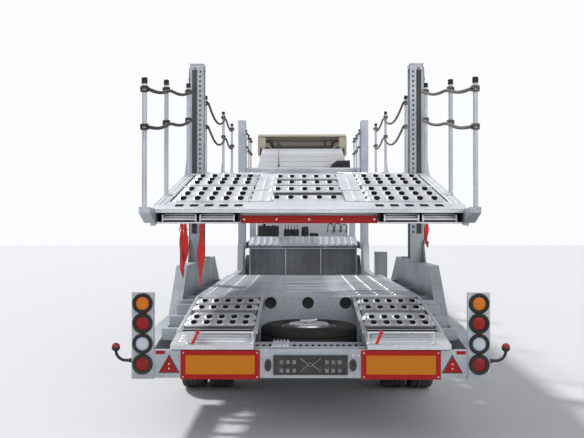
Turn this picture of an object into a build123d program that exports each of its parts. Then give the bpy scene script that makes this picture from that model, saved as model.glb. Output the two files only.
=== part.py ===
"""Articulated car transporter: a two-deck car-carrying semi-trailer on a two-axle tractor.

Millimetres. +Y points forward, +X to the right, +Z up, and the road is at z = 0.
A station is a distance ahead of the tail lamps, and a height is a distance above the road.
"""

import os
from math import cos, radians, sin, tan

from build123d import *

os.makedirs("parts", exist_ok=True)

# Overall
overall_length = 16530
overall_height = 4000
body_width = 2500  # over the trailer's side frames
sheet = 16  # depth of a pressed wheel track
running_clearance = 0.05  # radial play of a turning fit
moving_gap = 6  # between a sliding piece and what it passes
rest_gap = 0.3  # between a soft piece and its seat

# Lower deck of the trailer
track_inner = 390  # |x| of a wheel track's inner edge
track_outer = 1000
deck_depth = 40  # deck surface down to the frame that carries it
tail_height = 776  # deck surface at station 0
kink_station = 1530  # where the tail slope meets the level bogie deck
bogie_height = 990
bogie_end = 4700
well_start = 5600
well_height = 620
neck_station = 10300  # rear face of the swan neck's wall
neck_underside = 1150
neck_height = 1400
neck_end = 13400
slide_length = 340  # end piece that pulls out of the tail slope
slide_travel = 900
tongue_thickness = 12
tongue_inner = 470
tongue_outer = 955
tongue_depth = sheet + moving_gap - 1  # deck surface down to the tongue's top
tongue_start = 100
tongue_end = 1270

# Trailer frame
beam_inner = 430
beam_width = 80
side_frame_width = 100
tail_frame_bottom = 535
bogie_frame_bottom = 640
well_frame_bottom = 340
arch_height = 870  # underside of the side frames over the wheels
side_top_tail = 710
side_top_mid = 820
side_top_bogie = 1240
side_top_well = 800
side_top_neck = 1310

# Tail lamps and boards
board_inner = 358
board_outer = 918
board_top = 737
board_bottom = 532
lamp_panel_inner = 1109
lamp_panel_outer = 1264
lamp_panel_top = 1144
lamp_heights = (1067, 927, 783, 639)  # amber, red, white, red
lamp_ring_radius = 72
lamp_lens_radius = 48
lamp_depth = 20
panel_thickness = 40
arm_radius = 11
arm_reach = 116  # from the lamp panel's edge to the marker lamp's middle
marker_radius = 30

# Columns
column_middle = 1180  # |x|
column_width = 140
rear_column_station = 3000
rear_column_length = 200
rear_column_top = 3360
front_column_station = 9700
front_column_top = 3670
portal_station = 13225
portal_length = 150
column_wall = 14
pin_radius = 30

# Upper deck: stations and heights of the surface
rear_deck_line = ((650, 1745), (2720, 2170), (6310, 2430), (9450, 2470))
front_deck_line = ((9950, 2785), (13400, 2810))
upper_half_width = 1260
upper_sheet = 25
upper_beam_depth = 105
upper_track_inner = 470
upper_rail_inner = 1040
upper_rail_outer = 1090
rear_pivot = (9500, 2380)
front_pivot = (13225, 2690)
post_radius = 19
rope_radius = 14

# Wheels
trailer_tyre_radius = 398.5
trailer_tyre_width = 233
twin_pitch = 270
trailer_wheel_outer = 1240
trailer_axles = (2450, 3760)
tractor_tyre_radius = 480
drive_tyre_width = 290
drive_twin_pitch = 328
drive_wheel_outer = 1220
drive_axle = 11500
steer_axle = 15100
steer_tyre_width = 300
steer_wheel_middle = 1000
steer_pivot = 800

# Tractor
coupling_station = 12100
rail_inner = 380
rail_width = 80
rail_bottom = 760
rail_top = 1000
tractor_rear = 10900
coupling_gap = 1
cab_half_width = 1150
cab_rear = 14350
cab_length = 2130
cab_floor = 1110
cab_height = 2500
cab_wall = 50
hinge_heights = (1400, 2300)
hinge_offset = 13  # pin's middle outside the cab's side
hinge_pin_radius = 8
hinge_ear = 12
door_length = 980
door_height = 1660
door_clearance = 6
cab_pin_radius = 20


def station(t):
    """y of a point that lies t ahead of the tail lamps"""
    return t - overall_length / 2


def middle(span):
    return (span[0] + span[1]) / 2


def block(x_span, t_span, h_span, mode=Mode.ADD):
    """Plain bar between two x, two stations and two heights"""
    with Locations((middle(x_span), station(middle(t_span)), middle(h_span))):
        Box(x_span[1] - x_span[0], t_span[1] - t_span[0], h_span[1] - h_span[0], mode=mode)


def side_outline(points, x_span, mode=Mode.ADD):
    """Extrude an outline of (station, height) points across the vehicle"""
    with BuildSketch(Plane.YZ.offset(x_span[0])) as outline:
        with BuildLine():
            Polyline(*[(station(t), h) for t, h in points], close=True)
        make_face()
    extrude(outline.sketch, amount=x_span[1] - x_span[0], mode=mode)


def cross_outline(points, t_span, mode=Mode.ADD):
    """Extrude an outline of (x, height) points forward"""
    with BuildSketch(Plane.XZ.offset(-station(t_span[0]))) as outline:
        with BuildLine():
            Polyline(*points, close=True)
        make_face()
    extrude(outline.sketch, amount=t_span[0] - t_span[1], mode=mode)


def rod(start, end, radius, mode=Mode.ADD):
    """Round bar between two points of (x, station, height)"""
    a = Vector(start[0], station(start[1]), start[2])
    b = Vector(end[0], station(end[1]), end[2])
    with BuildSketch(Plane(origin=a, z_dir=b - a)) as section:
        Circle(radius)
    extrude(section.sketch, amount=(b - a).length, mode=mode)


def turned(profile, axis_point, mode=Mode.ADD):
    """Revolve (x, radius) points about a level axis through (station, height)"""
    t, h = axis_point
    with BuildSketch(Plane(origin=(0, station(t), h), x_dir=(1, 0, 0), z_dir=(0, -1, 0))) as section:
        with BuildLine():
            Polyline(*profile, close=True)
        make_face()
    revolve(section.sketch, axis=Axis((0, station(t), h), (1, 0, 0)), mode=mode)


def height_on(line, t):
    """Height of a deck line of (station, height) points, carried on past its ends"""
    pairs = list(zip(line, line[1:]))
    for (t0, h0), (t1, h1) in pairs:
        if t <= t1:
            break
    return h0 + (h1 - h0) * (t - t0) / (t1 - t0)


def strip(line, t_span, depth_span):
    """Outline of a layer that follows a deck line, at depths below its surface"""
    stations = [t_span[0]] + [t for t, h in line if t_span[0] < t < t_span[1]] + [t_span[1]]
    top = [(t, height_on(line, t) - depth_span[0]) for t in stations]
    bottom = [(t, height_on(line, t) - depth_span[1]) for t in reversed(stations)]
    return top + bottom


def pierce(stations, places, radius, length=0, mode=Mode.SUBTRACT):
    """Round holes, or slots of an overall length across, down through everything at given stations and |x|"""
    with BuildSketch() as openings:
        with Locations(*[(side * x, station(t)) for t in stations for x in places for side in (-1, 1)]):
            if length:
                SlotOverall(length, 2 * radius)
            else:
                Circle(radius)
    extrude(openings.sketch, amount=overall_height, mode=mode)


def spread(first, last, count):
    """Evenly spaced values, ends included"""
    return [first + (last - first) * k / (count - 1) for k in range(count)]


def keep(builder, name):
    """Label a finished sub-part and write it"""
    builder.part.label = name
    export_step(builder.part, f"parts/{name}.step")


cab_front = cab_rear + cab_length
cab_roof = cab_floor + cab_height
cab_pivot = (cab_front - 280, cab_floor - 110)
door_end = cab_front - 350
door_start = door_end - door_length
door_bottom = cab_floor + 30
door_top = door_bottom + door_height
hinge_station = door_end

def keep_together(name, *builders):
    """Write plates that are welded together, each still its own solid"""
    plates = [solid for builder in builders for solid in builder.part.solids()]
    export_step(Compound(label=name, children=plates), f"parts/{name}.step")


lower_deck_line = (
    (0, tail_height),
    (kink_station, bogie_height),
    (bogie_end, bogie_height),
    (well_start, well_height),
    (neck_station, well_height),
)
beam_outer = beam_inner + beam_width
side_inner = body_width / 2 - side_frame_width
side_outer = body_width / 2

# Trailer frame: two stepped longitudinals and the cross members between the side frames
bogie_cross_stations = (1590, 2050, 3100, 4400)
well_cross_stations = (5700, 6600, 7500, 8400, 9300, 10200)
tail_cross_stations = (620, 1000, 1400)
cross_width = 70
cross_depth = 90
with BuildPart() as trailer_frame:
    underside = (
        (neck_station, well_frame_bottom),
        (5500, well_frame_bottom),
        (4650, bogie_frame_bottom),
        (1700, bogie_frame_bottom),
        (1450, tail_frame_bottom),
        (90, tail_frame_bottom),
    )
    beam_top = strip(lower_deck_line, (90, neck_station), (deck_depth, deck_depth))
    beam_outline = beam_top[: len(beam_top) // 2] + list(underside)
    for side in (-1, 1):
        side_outline(beam_outline, sorted((side * beam_inner, side * beam_outer)))
    for t in bogie_cross_stations + well_cross_stations:
        h = height_on(lower_deck_line, t) - deck_depth
        level = min(h, height_on(lower_deck_line, t + cross_width) - deck_depth)
        block((-side_inner, side_inner), (t - 35, t + 35), (level - cross_depth, level))
    for t in tail_cross_stations:
        h = height_on(lower_deck_line, t - cross_width / 2) - deck_depth
        for side in (-1, 1):
            block(sorted((side * beam_outer, side * side_inner)), (t - 35, t + 35), (h - cross_depth, h))
keep(trailer_frame, "trailer_frame")

# Side frames: the wings that run beside the tracks, over the wheels and along the neck
with BuildPart() as side_frames:
    wing = (
        (60, 560),
        (60, 700),
        (280, side_top_tail),
        (900, 800),
        (1550, side_top_mid),
        (2000, side_top_bogie),
        (4450, side_top_bogie),
        (5250, side_top_well),
        (9420, side_top_well),
        (9560, side_top_neck),
        (neck_end, side_top_neck),
        (neck_end, 1180),
        (10150, 1180),
        (10150, 420),
        (4420, 420),
        (4300, arch_height),
        (1990, arch_height),
        (1900, 560),
    )
    for side in (-1, 1):
        side_outline(wing, sorted((side * side_inner, side * side_outer)))
keep(side_frames, "side_frames")

# Swan neck: ribbed wall, box beams over the tractor, coupling plate and kingpin
wall_half_width = 1080
wall_thickness = 60
wall_top = 1210
kingpin_radius = 25.4
neck_sheet = 25
roll_end = 10800
neck_line = ((neck_station, wall_top + neck_sheet), (roll_end, neck_height), (neck_end, neck_height))
neck_cross_stations = (10900, 11700, 12500, 13365)
neck_floor_half = 1100
rib_depth = 14
wall_rib_places = spread(-980, 980, 15)
roll_rib_places = spread(-1010, 1010, 17)
with BuildPart() as swan_neck:
    block(
        (-wall_half_width, wall_half_width),
        (neck_station, neck_station + wall_thickness),
        (well_frame_bottom, wall_top),
    )
    for x in wall_rib_places:
        block((x - 14, x + 14), (neck_station - rib_depth, neck_station), (well_height + 30, wall_top - 40))
    neck_top = strip(neck_line, (neck_station + wall_thickness, neck_end), (neck_sheet, neck_sheet))
    neck_side = neck_top[: len(neck_top) // 2] + [
        (neck_end, neck_underside),
        (neck_station + wall_thickness, neck_underside),
    ]
    for side in (-1, 1):
        side_outline(neck_side, sorted((side * beam_inner, side * beam_outer)))
    for t in neck_cross_stations:
        block((-side_inner, side_inner), (t - 35, t + 35), (neck_underside + 35, side_top_neck))
    block((-beam_inner, beam_inner), (11500, 12700), (neck_underside, neck_underside + 10))
    rod(
        (0, coupling_station, neck_underside),
        (0, coupling_station, neck_underside - 84),
        kingpin_radius,
    )
keep(swan_neck, "swan_neck")

# Swan neck deck: a ribbed roll that climbs off the wall, then a level floor
with BuildPart() as neck_deck:
    side_outline(
        strip(neck_line, (neck_station + wall_thickness, neck_end), (0, neck_sheet)),
        (-neck_floor_half, neck_floor_half),
    )
    for x in roll_rib_places:
        side_outline(strip(neck_line, (neck_station + wall_thickness, roll_end + 300), (-12, 0)), (x - 30, x + 30))
    for side in (-1, 1):
        block(
            sorted((side * (neck_floor_half - 40), side * neck_floor_half)),
            (neck_cross_stations[0] - 35, neck_end),
            (side_top_neck, neck_height - neck_sheet),
        )
keep(neck_deck, "neck_deck")

# Tail tracks: the sloping wheel tracks beside the spare wheel, with rows of grip holes
web = 20
hole_radius = 25
slot_radius = 15
slot_length = 130
tail_hole_stations = (550, 720, 1040, 1270)
tail_hole_places = (495, 595, 695, 795, 895)
track_slot_places = (530, 695, 860)
with BuildPart() as tail_tracks:
    span = (slide_length + moving_gap, kink_station)
    for side in (-1, 1):
        side_outline(strip(lower_deck_line, span, (0, sheet)), sorted((side * track_inner, side * track_outer)))
        for inner, outer in ((beam_inner, beam_inner + web), (track_outer - web, track_outer)):
            side_outline(
                strip(lower_deck_line, span, (sheet, deck_depth)), sorted((side * inner, side * outer))
            )
        for inner, outer in ((beam_inner + web, tongue_inner - rest_gap), (tongue_outer + rest_gap, track_outer - web)):
            side_outline(
                strip(lower_deck_line, span, (sheet, tongue_depth + tongue_thickness)),
                sorted((side * inner, side * outer)),
            )
    pierce(tail_hole_stations, tail_hole_places, hole_radius)
keep(tail_tracks, "tail_tracks")

# Bogie deck: level tracks over the wheels, and the plate between them
with BuildPart() as bogie_deck:
    span = (kink_station, bogie_end)
    for side in (-1, 1):
        side_outline(strip(lower_deck_line, span, (0, deck_depth)), sorted((side * track_inner, side * track_outer)))
    pierce(spread(kink_station + 150, bogie_end - 150, 14), track_slot_places, slot_radius, slot_length)
    block((-track_inner, track_inner), (kink_station, bogie_end), (bogie_height - deck_depth, bogie_height - 8))
keep(bogie_deck, "bogie_deck")

# Well deck: tracks down into the well ahead of the bogie
with BuildPart() as well_deck:
    span = (bogie_end, neck_station)
    for side in (-1, 1):
        side_outline(strip(lower_deck_line, span, (0, deck_depth)), sorted((side * track_inner, side * track_outer)))
    pierce(spread(bogie_end + 150, neck_station - 150, 24), track_slot_places, slot_radius, slot_length)
keep(well_deck, "well_deck")

# Spare wheel cradle: front wall, straps below the wheel, clamp bolt and perforated cross rails
spare_station = 1000
spare_bottom = 575
spare_bead = 222
with BuildPart() as spare_cradle:
    cross_outline(
        (
            (-beam_inner, bogie_frame_bottom),
            (beam_inner, bogie_frame_bottom),
            (beam_inner, 880),
            (track_inner - 1, 880),
            (track_inner - 1, bogie_height - 8),
            (1 - track_inner, bogie_height - 8),
            (1 - track_inner, 880),
            (-beam_inner, 880),
        ),
        (kink_station - 10, kink_station),
    )
    for x in (-335, 0, 335):
        rod((x, kink_station - 15, 930), (x, kink_station + 5, 930), 46, Mode.SUBTRACT)
    for t in (spare_station - 180, spare_station + 180):
        block((-beam_inner, beam_inner), (t - 30, t + 30), (spare_bottom - 32, spare_bottom - rest_gap))
    block((-60, 60), (spare_station - 180, spare_station + 180), (spare_bottom - 32, spare_bottom - 12))
    rod((0, spare_station, spare_bottom - 12), (0, spare_station, 830), 12)
    rod((0, spare_station, 786 + rest_gap), (0, spare_station, 800), 40)
    for t in (130, 355):
        block((-beam_inner, beam_inner), (t - 22, t + 22), (700, 745))
    with BuildSketch(Plane.XZ.offset(-station(400))) as squares:
        with Locations(*[(x, 722) for x in spread(-390, 390, 18)]):
            Rectangle(20, 21)
    extrude(squares.sketch, amount=300, mode=Mode.SUBTRACT)
keep(spare_cradle, "spare_cradle")


def lying_ring(points):
    """Revolve (radius, height) points about the spare wheel's upright axis"""
    with BuildSketch(Plane(origin=(0, station(spare_station), 0), x_dir=(1, 0, 0), z_dir=(0, -1, 0))) as section:
        with BuildLine():
            Polyline(*points, close=True)
        make_face()
    revolve(section.sketch, axis=Axis((0, station(spare_station), 0), (0, 0, 1)))


with BuildPart() as spare_tyre:
    low = spare_bottom
    wide = trailer_tyre_width
    reach = trailer_tyre_radius
    lying_ring(
        (
            (spare_bead, low + 25),
            (spare_bead + 60, low + 3),
            (reach - 70, low),
            (reach - 18, low + 22),
            (reach, low + 50),
            (reach, low + wide - 50),
            (reach - 18, low + wide - 22),
            (reach - 70, low + wide),
            (spare_bead + 60, low + wide - 3),
            (spare_bead, low + wide - 25),
        )
    )
keep(spare_tyre, "spare_tyre")

with BuildPart() as spare_rim:
    edge = spare_bead - rest_gap
    lying_ring(
        (
            (16, 772),
            (115, 772),
            (160, 728),
            (180, 696),
            (edge - 10, 690),
            (edge - 10, 600),
            (edge, 600),
            (edge, 790),
            (edge - 10, 790),
            (edge - 10, 704),
            (188, 708),
            (168, 738),
            (120, 786),
            (16, 786),
        )
    )
    with BuildSketch(Plane.XY.offset(700)) as bolts:
        with Locations((0, station(spare_station))):
            with PolarLocations(88, 10):
                Circle(12)
    extrude(bolts.sketch, amount=100, mode=Mode.SUBTRACT)
keep(spare_rim, "spare_rim")

# Tail beam with the upright lamp panels at its ends
board_thickness = 15
beam_back = board_thickness * 2
with BuildPart() as tail_beam:
    block((-lamp_panel_inner, lamp_panel_inner), (beam_back, 90), (board_bottom + 8, board_top - 2))
    for side in (-1, 1):
        block(
            sorted((side * lamp_panel_inner, side * lamp_panel_outer)),
            (lamp_depth, 60),
            (board_bottom + 2, lamp_panel_top),
        )
keep(tail_beam, "tail_beam")

# Number plate holder, left blank, with an oval lamp at each side
with BuildPart() as plate_holder:
    block((-262, 262), (12, beam_back), (565, 702))
    block((-254, 254), (8, 18), (573, 694), Mode.SUBTRACT)
    for side in (-1, 1):
        with BuildSketch(Plane.XZ.offset(-station(beam_back))):
            with Locations((side * 300, 632)):
                Ellipse(24, 42)
        extrude(amount=22)
keep(plate_holder, "plate_holder")

with BuildPart() as marker_boards:
    for side in (-1, 1):
        block(
            sorted((side * board_inner, side * board_outer)),
            (board_thickness, beam_back),
            (board_bottom, board_top),
        )
keep(marker_boards, "marker_boards")

# Tail lamps: four round lamps in rubber rings on each panel
lamp_middle = (lamp_panel_inner + lamp_panel_outer) / 2
with BuildPart() as tail_lamps:
    for side in (-1, 1):
        for h in lamp_heights:
            rod((side * lamp_middle, 0, h), (side * lamp_middle, lamp_depth, h), lamp_ring_radius)
            rod((side * lamp_middle, -1, h), (side * lamp_middle, 8, h), lamp_lens_radius, Mode.SUBTRACT)
keep(tail_lamps, "tail_lamps")

# Red triangles and the small reflectors beside them
triangle_base = 151
triangle_height = 131
with BuildPart() as reflectors:
    for side in (-1, 1):
        foot = side * 1000
        cross_outline(
            (
                (foot - triangle_base / 2, 575),
                (foot + triangle_base / 2, 575),
                (foot, 575 + triangle_height),
            ),
            (22, beam_back),
        )
        block(sorted((side * 1030, side * 1095)), (24, beam_back), (708, 732))
keep(reflectors, "reflectors")

# Marker lamps on curved rubber arms
with BuildPart() as marker_arms:
    for side in (-1, 1):
        root = side * lamp_panel_outer
        tip = side * (lamp_panel_outer + arm_reach)
        bend = 70
        with BuildLine():
            Polyline(
                (root, station(40), 662),
                (tip - side * bend, station(40), 662),
            )
            ThreePointArc(
                (tip - side * bend, station(40), 662),
                (tip - side * bend * (1 - sin(radians(45))), station(40), 662 + bend * (1 - cos(radians(45)))),
                (tip, station(40), 662 + bend),
            )
        with BuildSketch(Plane(origin=(root, station(40), 662), z_dir=(side, 0, 0))):
            Circle(arm_radius)
        sweep()
        with Locations((tip, station(40), 662 + bend + marker_radius - 4)):
            Sphere(marker_radius)
keep(marker_arms, "marker_arms")


def column(t, length, foot, top, side):
    """Upright channel, open towards the deck"""
    x_span = sorted((side * (column_middle - column_width / 2), side * (column_middle + column_width / 2)))
    block(x_span, (t - length / 2, t + length / 2), (foot, top))
    inner = side * (column_middle - column_width / 2)
    deep = side * (column_middle + column_width / 2 - column_wall)
    block(sorted((inner, deep)), (t - length / 2 + column_wall, t + length / 2 - column_wall), (foot + 30, top - 30), Mode.SUBTRACT)


# Rear columns, with the lifting screw that stands in each
with BuildPart() as rear_columns:
    for side in (-1, 1):
        column(rear_column_station, rear_column_length, side_top_bogie, rear_column_top, side)
        foot_points = (
            (rear_column_station - rear_column_length / 2, side_top_bogie),
            (rear_column_station - rear_column_length / 2 - 160, side_top_bogie),
            (rear_column_station - rear_column_length / 2, side_top_bogie + 240),
        )
        side_outline(foot_points, sorted((side * (side_outer - 12), side * side_outer)))
        rear_face = rear_column_station - rear_column_length / 2
        block(
            sorted((side * (column_middle - 5), side * (column_middle + 50))),
            (rear_face - 5, rear_face + column_wall + 1),
            (side_top_bogie + 300, rear_column_top - 60),
            Mode.SUBTRACT,
        )
        rack_x = side * (column_middle - 37)
        with BuildSketch(Plane.XZ.offset(-station(rear_face + column_wall + 1))) as rack:
            with Locations(*[(rack_x, h) for h in spread(side_top_bogie + 320, rear_column_top - 80, 34)]):
                Rectangle(24, 24)
        extrude(rack.sketch, amount=column_wall + 5, mode=Mode.SUBTRACT)
        rod(
            (side * column_middle, rear_column_station, side_top_bogie + 30),
            (side * column_middle, rear_column_station, rear_column_top - 30),
            22,
        )
keep(rear_columns, "rear_columns")

# Front columns and the portal over the neck, with the pins that carry both platforms
with BuildPart() as front_columns:
    for side in (-1, 1):
        column(front_column_station, rear_column_length, side_top_neck, front_column_top, side)
        rod(
            (side * column_middle, front_column_station, side_top_neck + 30),
            (side * column_middle, front_column_station, front_column_top - 30),
            22,
        )
        face = column_middle - column_width / 2
        lug = ((front_column_station - rear_column_length / 2, rear_pivot[1] - 90),
               (front_column_station - rear_column_length / 2, rear_pivot[1] + 90),
               (rear_pivot[0] - 50, rear_pivot[1] + 50),
               (rear_pivot[0] - 50, rear_pivot[1] - 50))
        side_outline(lug, sorted((side * face, side * (face + 30))))
        rod(
            (side * (face + 30), rear_pivot[0], rear_pivot[1]),
            (side * (upper_rail_inner + 5), rear_pivot[0], rear_pivot[1]),
            pin_radius,
        )
        block(
            sorted((side * (column_middle - column_width / 2), side * (column_middle + column_width / 2))),
            (portal_station - portal_length / 2, portal_station + portal_length / 2),
            (side_top_neck, front_pivot[1] + 40),
        )
        rod(
            (side * (face + 30), front_pivot[0], front_pivot[1]),
            (side * (upper_rail_inner + 5), front_pivot[0], front_pivot[1]),
            pin_radius,
        )
keep(front_columns, "front_columns")

# Trailer axles: beams, trailing arms, hangers and air springs
arm_inner = 560
arm_outer = 640
spindle_radius = 45
spring_radius = 110
with BuildPart() as trailer_axle_set:
    for t in trailer_axles:
        wheel_inner = trailer_wheel_outer - twin_pitch - trailer_tyre_width
        rod((-700, t, trailer_tyre_radius), (700, t, trailer_tyre_radius), 64)
        for side in (-1, 1):
            rod(
                (side * 700, t, trailer_tyre_radius),
                (side * (trailer_wheel_outer - 60), t, trailer_tyre_radius),
                spindle_radius,
            )
            arm = (
                (t + 560, 560),
                (t + 560, 500),
                (t, 330),
                (t - 440, 360),
                (t - 440, 400),
                (t, 450),
            )
            side_outline(arm, sorted((side * arm_inner, side * arm_outer)))
            hanger = ((t + 450, bogie_frame_bottom + 130), (t + 450, bogie_frame_bottom), (t + 500, 470), (t + 600, 470), (t + 650, bogie_frame_bottom), (t + 650, bogie_frame_bottom + 130))
            side_outline(hanger, sorted((side * beam_outer, side * arm_outer)))
            rod((side * 600, t - 330, 380), (side * 600, t - 330, bogie_frame_bottom), spring_radius)
            block(sorted((side * beam_outer, side * 715)), (t - 430, t - 230), (bogie_frame_bottom, bogie_frame_bottom + 20))
keep(trailer_axle_set, "trailer_axles")

with BuildPart() as landing_legs:
    for side in (-1, 1):
        block(sorted((side * 840, side * 940)), (9250, 9350), (300, 490))
        block(sorted((side * 790, side * 990)), (9200, 9400), (270, 300))
keep(landing_legs, "landing_legs")

# Control box on the right side frame, and the lever housings ahead of the bogie
with BuildPart() as control_boxes:
    block((1100, 1270), (6550, 6850), (side_top_well, 1230))
    for side in (-1, 1):
        block(sorted((side * 1150, side * 1250)), (3750, 3950), (side_top_bogie, side_top_bogie + 20))
keep(control_boxes, "control_boxes")


def platform_rail(line, x_span, t_span, depth=upper_beam_depth):
    side_outline(strip(line, t_span, (upper_sheet, upper_sheet + depth)), x_span)


# Rear platform frame: inner and outer beams, stepped in to pass the columns, and cross members
notch = (rear_column_station - rear_column_length / 2 - 80, rear_column_station + rear_column_length / 2 + 80)
channel_inner = 555
channel_outer = 1211
channel_start = 700
channel_end = 2640
channel_depth = 95
wing_rail_inner = 1215
with BuildPart() as rear_platform_frame:
    line = rear_deck_line
    for side in (-1, 1):
        platform_rail(line, sorted((side * 440, side * 480)), (channel_start + 60, 9450))
        platform_rail(line, sorted((side * wing_rail_inner, side * (upper_half_width - 5))), (660, notch[0] - 20))
        platform_rail(line, sorted((side * upper_rail_inner, side * upper_rail_outer)), (channel_end + 20, 9540))
        rod(
            (side * (upper_rail_inner - 1), rear_pivot[0], rear_pivot[1]),
            (side * (upper_rail_outer + 1), rear_pivot[0], rear_pivot[1]),
            pin_radius + running_clearance,
            Mode.SUBTRACT,
        )
        bracket = ((430, 1715), (430, 1760), (648, 1745), (648, 1718), (700, 1718), (700, 1640), (648, 1640))
        side_outline(bracket, sorted((side * wing_rail_inner, side * 1300)))
    for t, half in ((780, 550), (2680, wing_rail_inner), (3900, upper_rail_inner), (5200, upper_rail_inner),
                    (6500, upper_rail_inner), (7900, upper_rail_inner), (9200, upper_rail_inner)):
        h = height_on(line, t) - upper_sheet
        side_outline(strip(line, (t - 20, t + 20), (upper_sheet, upper_sheet + upper_beam_depth)), (-half, half))
keep(rear_platform_frame, "rear_platform_frame")

# Rear platform deck: lip with cut corners, perforated tracks, wings, and two ladders of grip bars
# between the tracks at the rear
upper_hole_stations = (1050, 1300, 1560, 1950, 2150, 2390)
upper_hole_places = (570, 690, 810, 930, 1050)
upper_slot_places = (560, 715, 870)
upper_slot_length = 120
ladder_half = 300
ladder_hole_places = (-270, -150, -30, 90, 210)
# Open bays between the ladders' bars: first and last station
ladder_bays = ((1165, 1500), (1620, 1800), (1880, 1925), (2030, 2315), (2430, 2640))
lip_corner = 150
with BuildPart() as rear_platform_deck:
    line = rear_deck_line
    side_outline(strip(line, (650, 9450), (0, upper_sheet)), (-upper_half_width, upper_half_width))
    for side in (-1, 1):
        with BuildSketch() as corner:
            with BuildLine():
                Polyline(
                    (side * (upper_half_width + 1), station(649)),
                    (side * (upper_half_width - lip_corner / 3), station(649)),
                    (side * (upper_half_width + 1), station(650 + lip_corner)),
                    close=True,
                )
            make_face()
        extrude(corner.sketch, amount=overall_height, mode=Mode.SUBTRACT)
    pierce(upper_hole_stations, upper_hole_places, hole_radius + 2)
    pierce((800, 850), upper_hole_places, 8, 62)
    pierce(spread(3330, 9250, 25), upper_slot_places, slot_radius, upper_slot_length)
    for first, last in ladder_bays:
        block((-ladder_half, ladder_half), (first, last), (1500, 2500), Mode.SUBTRACT)
    with BuildSketch() as grips:
        with Locations(*[(x, station(t)) for t in (1107, 1560, 1975, 2370) for x in ladder_hole_places]):
            Circle(hole_radius)
    extrude(grips.sketch, amount=overall_height, mode=Mode.SUBTRACT)
    for first, last in ((1010, 1815), (1865, 2640)):
        for edge in (484, 1145):
            for side in (-1, 1):
                block(sorted((side * edge, side * (edge + 16))), (first, last), (1500, 2500), Mode.SUBTRACT)
    block((-upper_track_inner, upper_track_inner), (2720, 9500), (2000, 2600), Mode.SUBTRACT)
    for side in (-1, 1):
        block(sorted((side * (upper_rail_outer + 5), side * (upper_half_width + 5))), notch, (2000, 2400), Mode.SUBTRACT)
keep(rear_platform_deck, "rear_platform_deck")


def posts(line, table):
    """Guard posts on their foot plates; columns of the table: station, |x|, top height"""
    for t, x, top in table:
        for side in (-1, 1):
            span = sorted((side * (x - foot_half), side * min(x + foot_half, upper_half_width)))
            side_outline(strip(line, (t - foot_half, t + foot_half), (-foot_thickness, 0)), span)
            foot = height_on(line, t)
            rod((side * x, t, foot + foot_thickness / 2), (side * x, t, top), post_radius)
            cross_outline(
                (
                    (side * x, foot + 4),
                    (side * min(x + foot_half, upper_half_width), foot + 4),
                    (side * x, foot + gusset_height),
                ),
                (t - 4, t + 4),
            )


foot_half = 45
foot_thickness = 14
gusset_height = 330
end_post_x = 1262  # the rearmost post stands on the frame's side bracket
end_post_station = 455
# Guard posts; columns: station, |x|, top height
rear_post_table = (
    (1350, 1245, 2900),
    (2560, 1222, 3090),
    (4050, 1220, 3210),
    (6310, 1220, 3350),
    (7820, 1220, 3370),
)
front_post_table = (
    (11440, 1220, 3720),
    (12300, 1220, 3710),
    (13070, 1220, 3730),
)
with BuildPart() as rear_posts:
    posts(rear_deck_line, rear_post_table)
    for side in (-1, 1):
        rod((side * end_post_x, end_post_station, 1760), (side * end_post_x, end_post_station, 2750), post_radius)
keep(rear_posts, "rear_posts")

# Stowed loading ramps lie in two channels under the lip, each welded up from four plates
channel_wall = 8
channel_top = upper_sheet
channel_bottom = upper_sheet + channel_depth
floor_strip = strip(rear_deck_line, (channel_start, channel_end), (channel_bottom - channel_wall, channel_bottom))
wall_strip = strip(rear_deck_line, (channel_start, channel_end), (channel_top, channel_bottom - channel_wall))
end_strip = strip(
    rear_deck_line, (channel_end - channel_wall, channel_end), (channel_top, channel_bottom - channel_wall)
)
with BuildPart() as channel_floors:
    for side in (-1, 1):
        side_outline(floor_strip, sorted((side * channel_inner, side * channel_outer)))
with BuildPart() as channel_walls:
    for side in (-1, 1):
        for edge in (channel_inner, channel_outer - channel_wall):
            side_outline(wall_strip, sorted((side * edge, side * (edge + channel_wall))))
with BuildPart() as channel_ends:
    for side in (-1, 1):
        inner = side * (channel_inner + channel_wall)
        side_outline(end_strip, sorted((inner, side * (channel_outer - channel_wall))))
keep_together("ramp_channels", channel_floors, channel_walls, channel_ends)

# Warning ribbons tied to the channels' rear edges; columns: x, length, width
ribbon_table = ((-992, 420, 34), (-856, 500, 40), (930, 190, 36))
ribbon_station = channel_start + 3
with BuildPart() as ribbons:
    ribbon_top = height_on(rear_deck_line, channel_start) - upper_sheet - channel_depth - rest_gap
    for x, length, width in ribbon_table:
        block((x - width / 2, x + width / 2), (ribbon_station - 3, ribbon_station + 3), (ribbon_top - length, ribbon_top))
keep(ribbons, "ribbons")

with BuildPart() as red_bar:
    h = height_on(rear_deck_line, 760) - upper_sheet
    block((-545, 545), (742, 760), (h - 105, h - 43))
keep(red_bar, "red_bar")

# Rope routes, right side, as |x|, station and height; a second rope hangs lower by rope_drop.
# Each passes the inner side of its posts and dips between them.
rope_drop = 290
rear_rope_routes = (
    (
        (1228.5, 455, 2660),
        (1223, 755, 2686),
        (1217, 1050, 2736),
        (1211.5, 1350, 2810),
        (1204, 1755, 2840),
        (1196, 2155, 2904),
        (1188.5, 2560, 3000),
    ),
    (
        (1186.5, 4050, 3120),
        (1184, 4425, 3048),
        (1182, 4805, 3014),
        (1183, 5180, 3020),
        (1182, 5555, 3064),
        (1184, 5935, 3144),
        (1186.5, 6310, 3260),
        (1184, 6690, 3182),
        (1182, 7065, 3158),
        (1184, 7440, 3192),
        (1186.5, 7820, 3280),
    ),
)
front_rope_routes = (
    (
        (1186.5, 11440, 3630),
        (1184, 11725, 3566),
        (1183, 12015, 3560),
        (1186.5, 12300, 3620),
        (1184, 12555, 3574),
        (1183, 12815, 3580),
        (1186.5, 13070, 3640),
    ),
)


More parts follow.
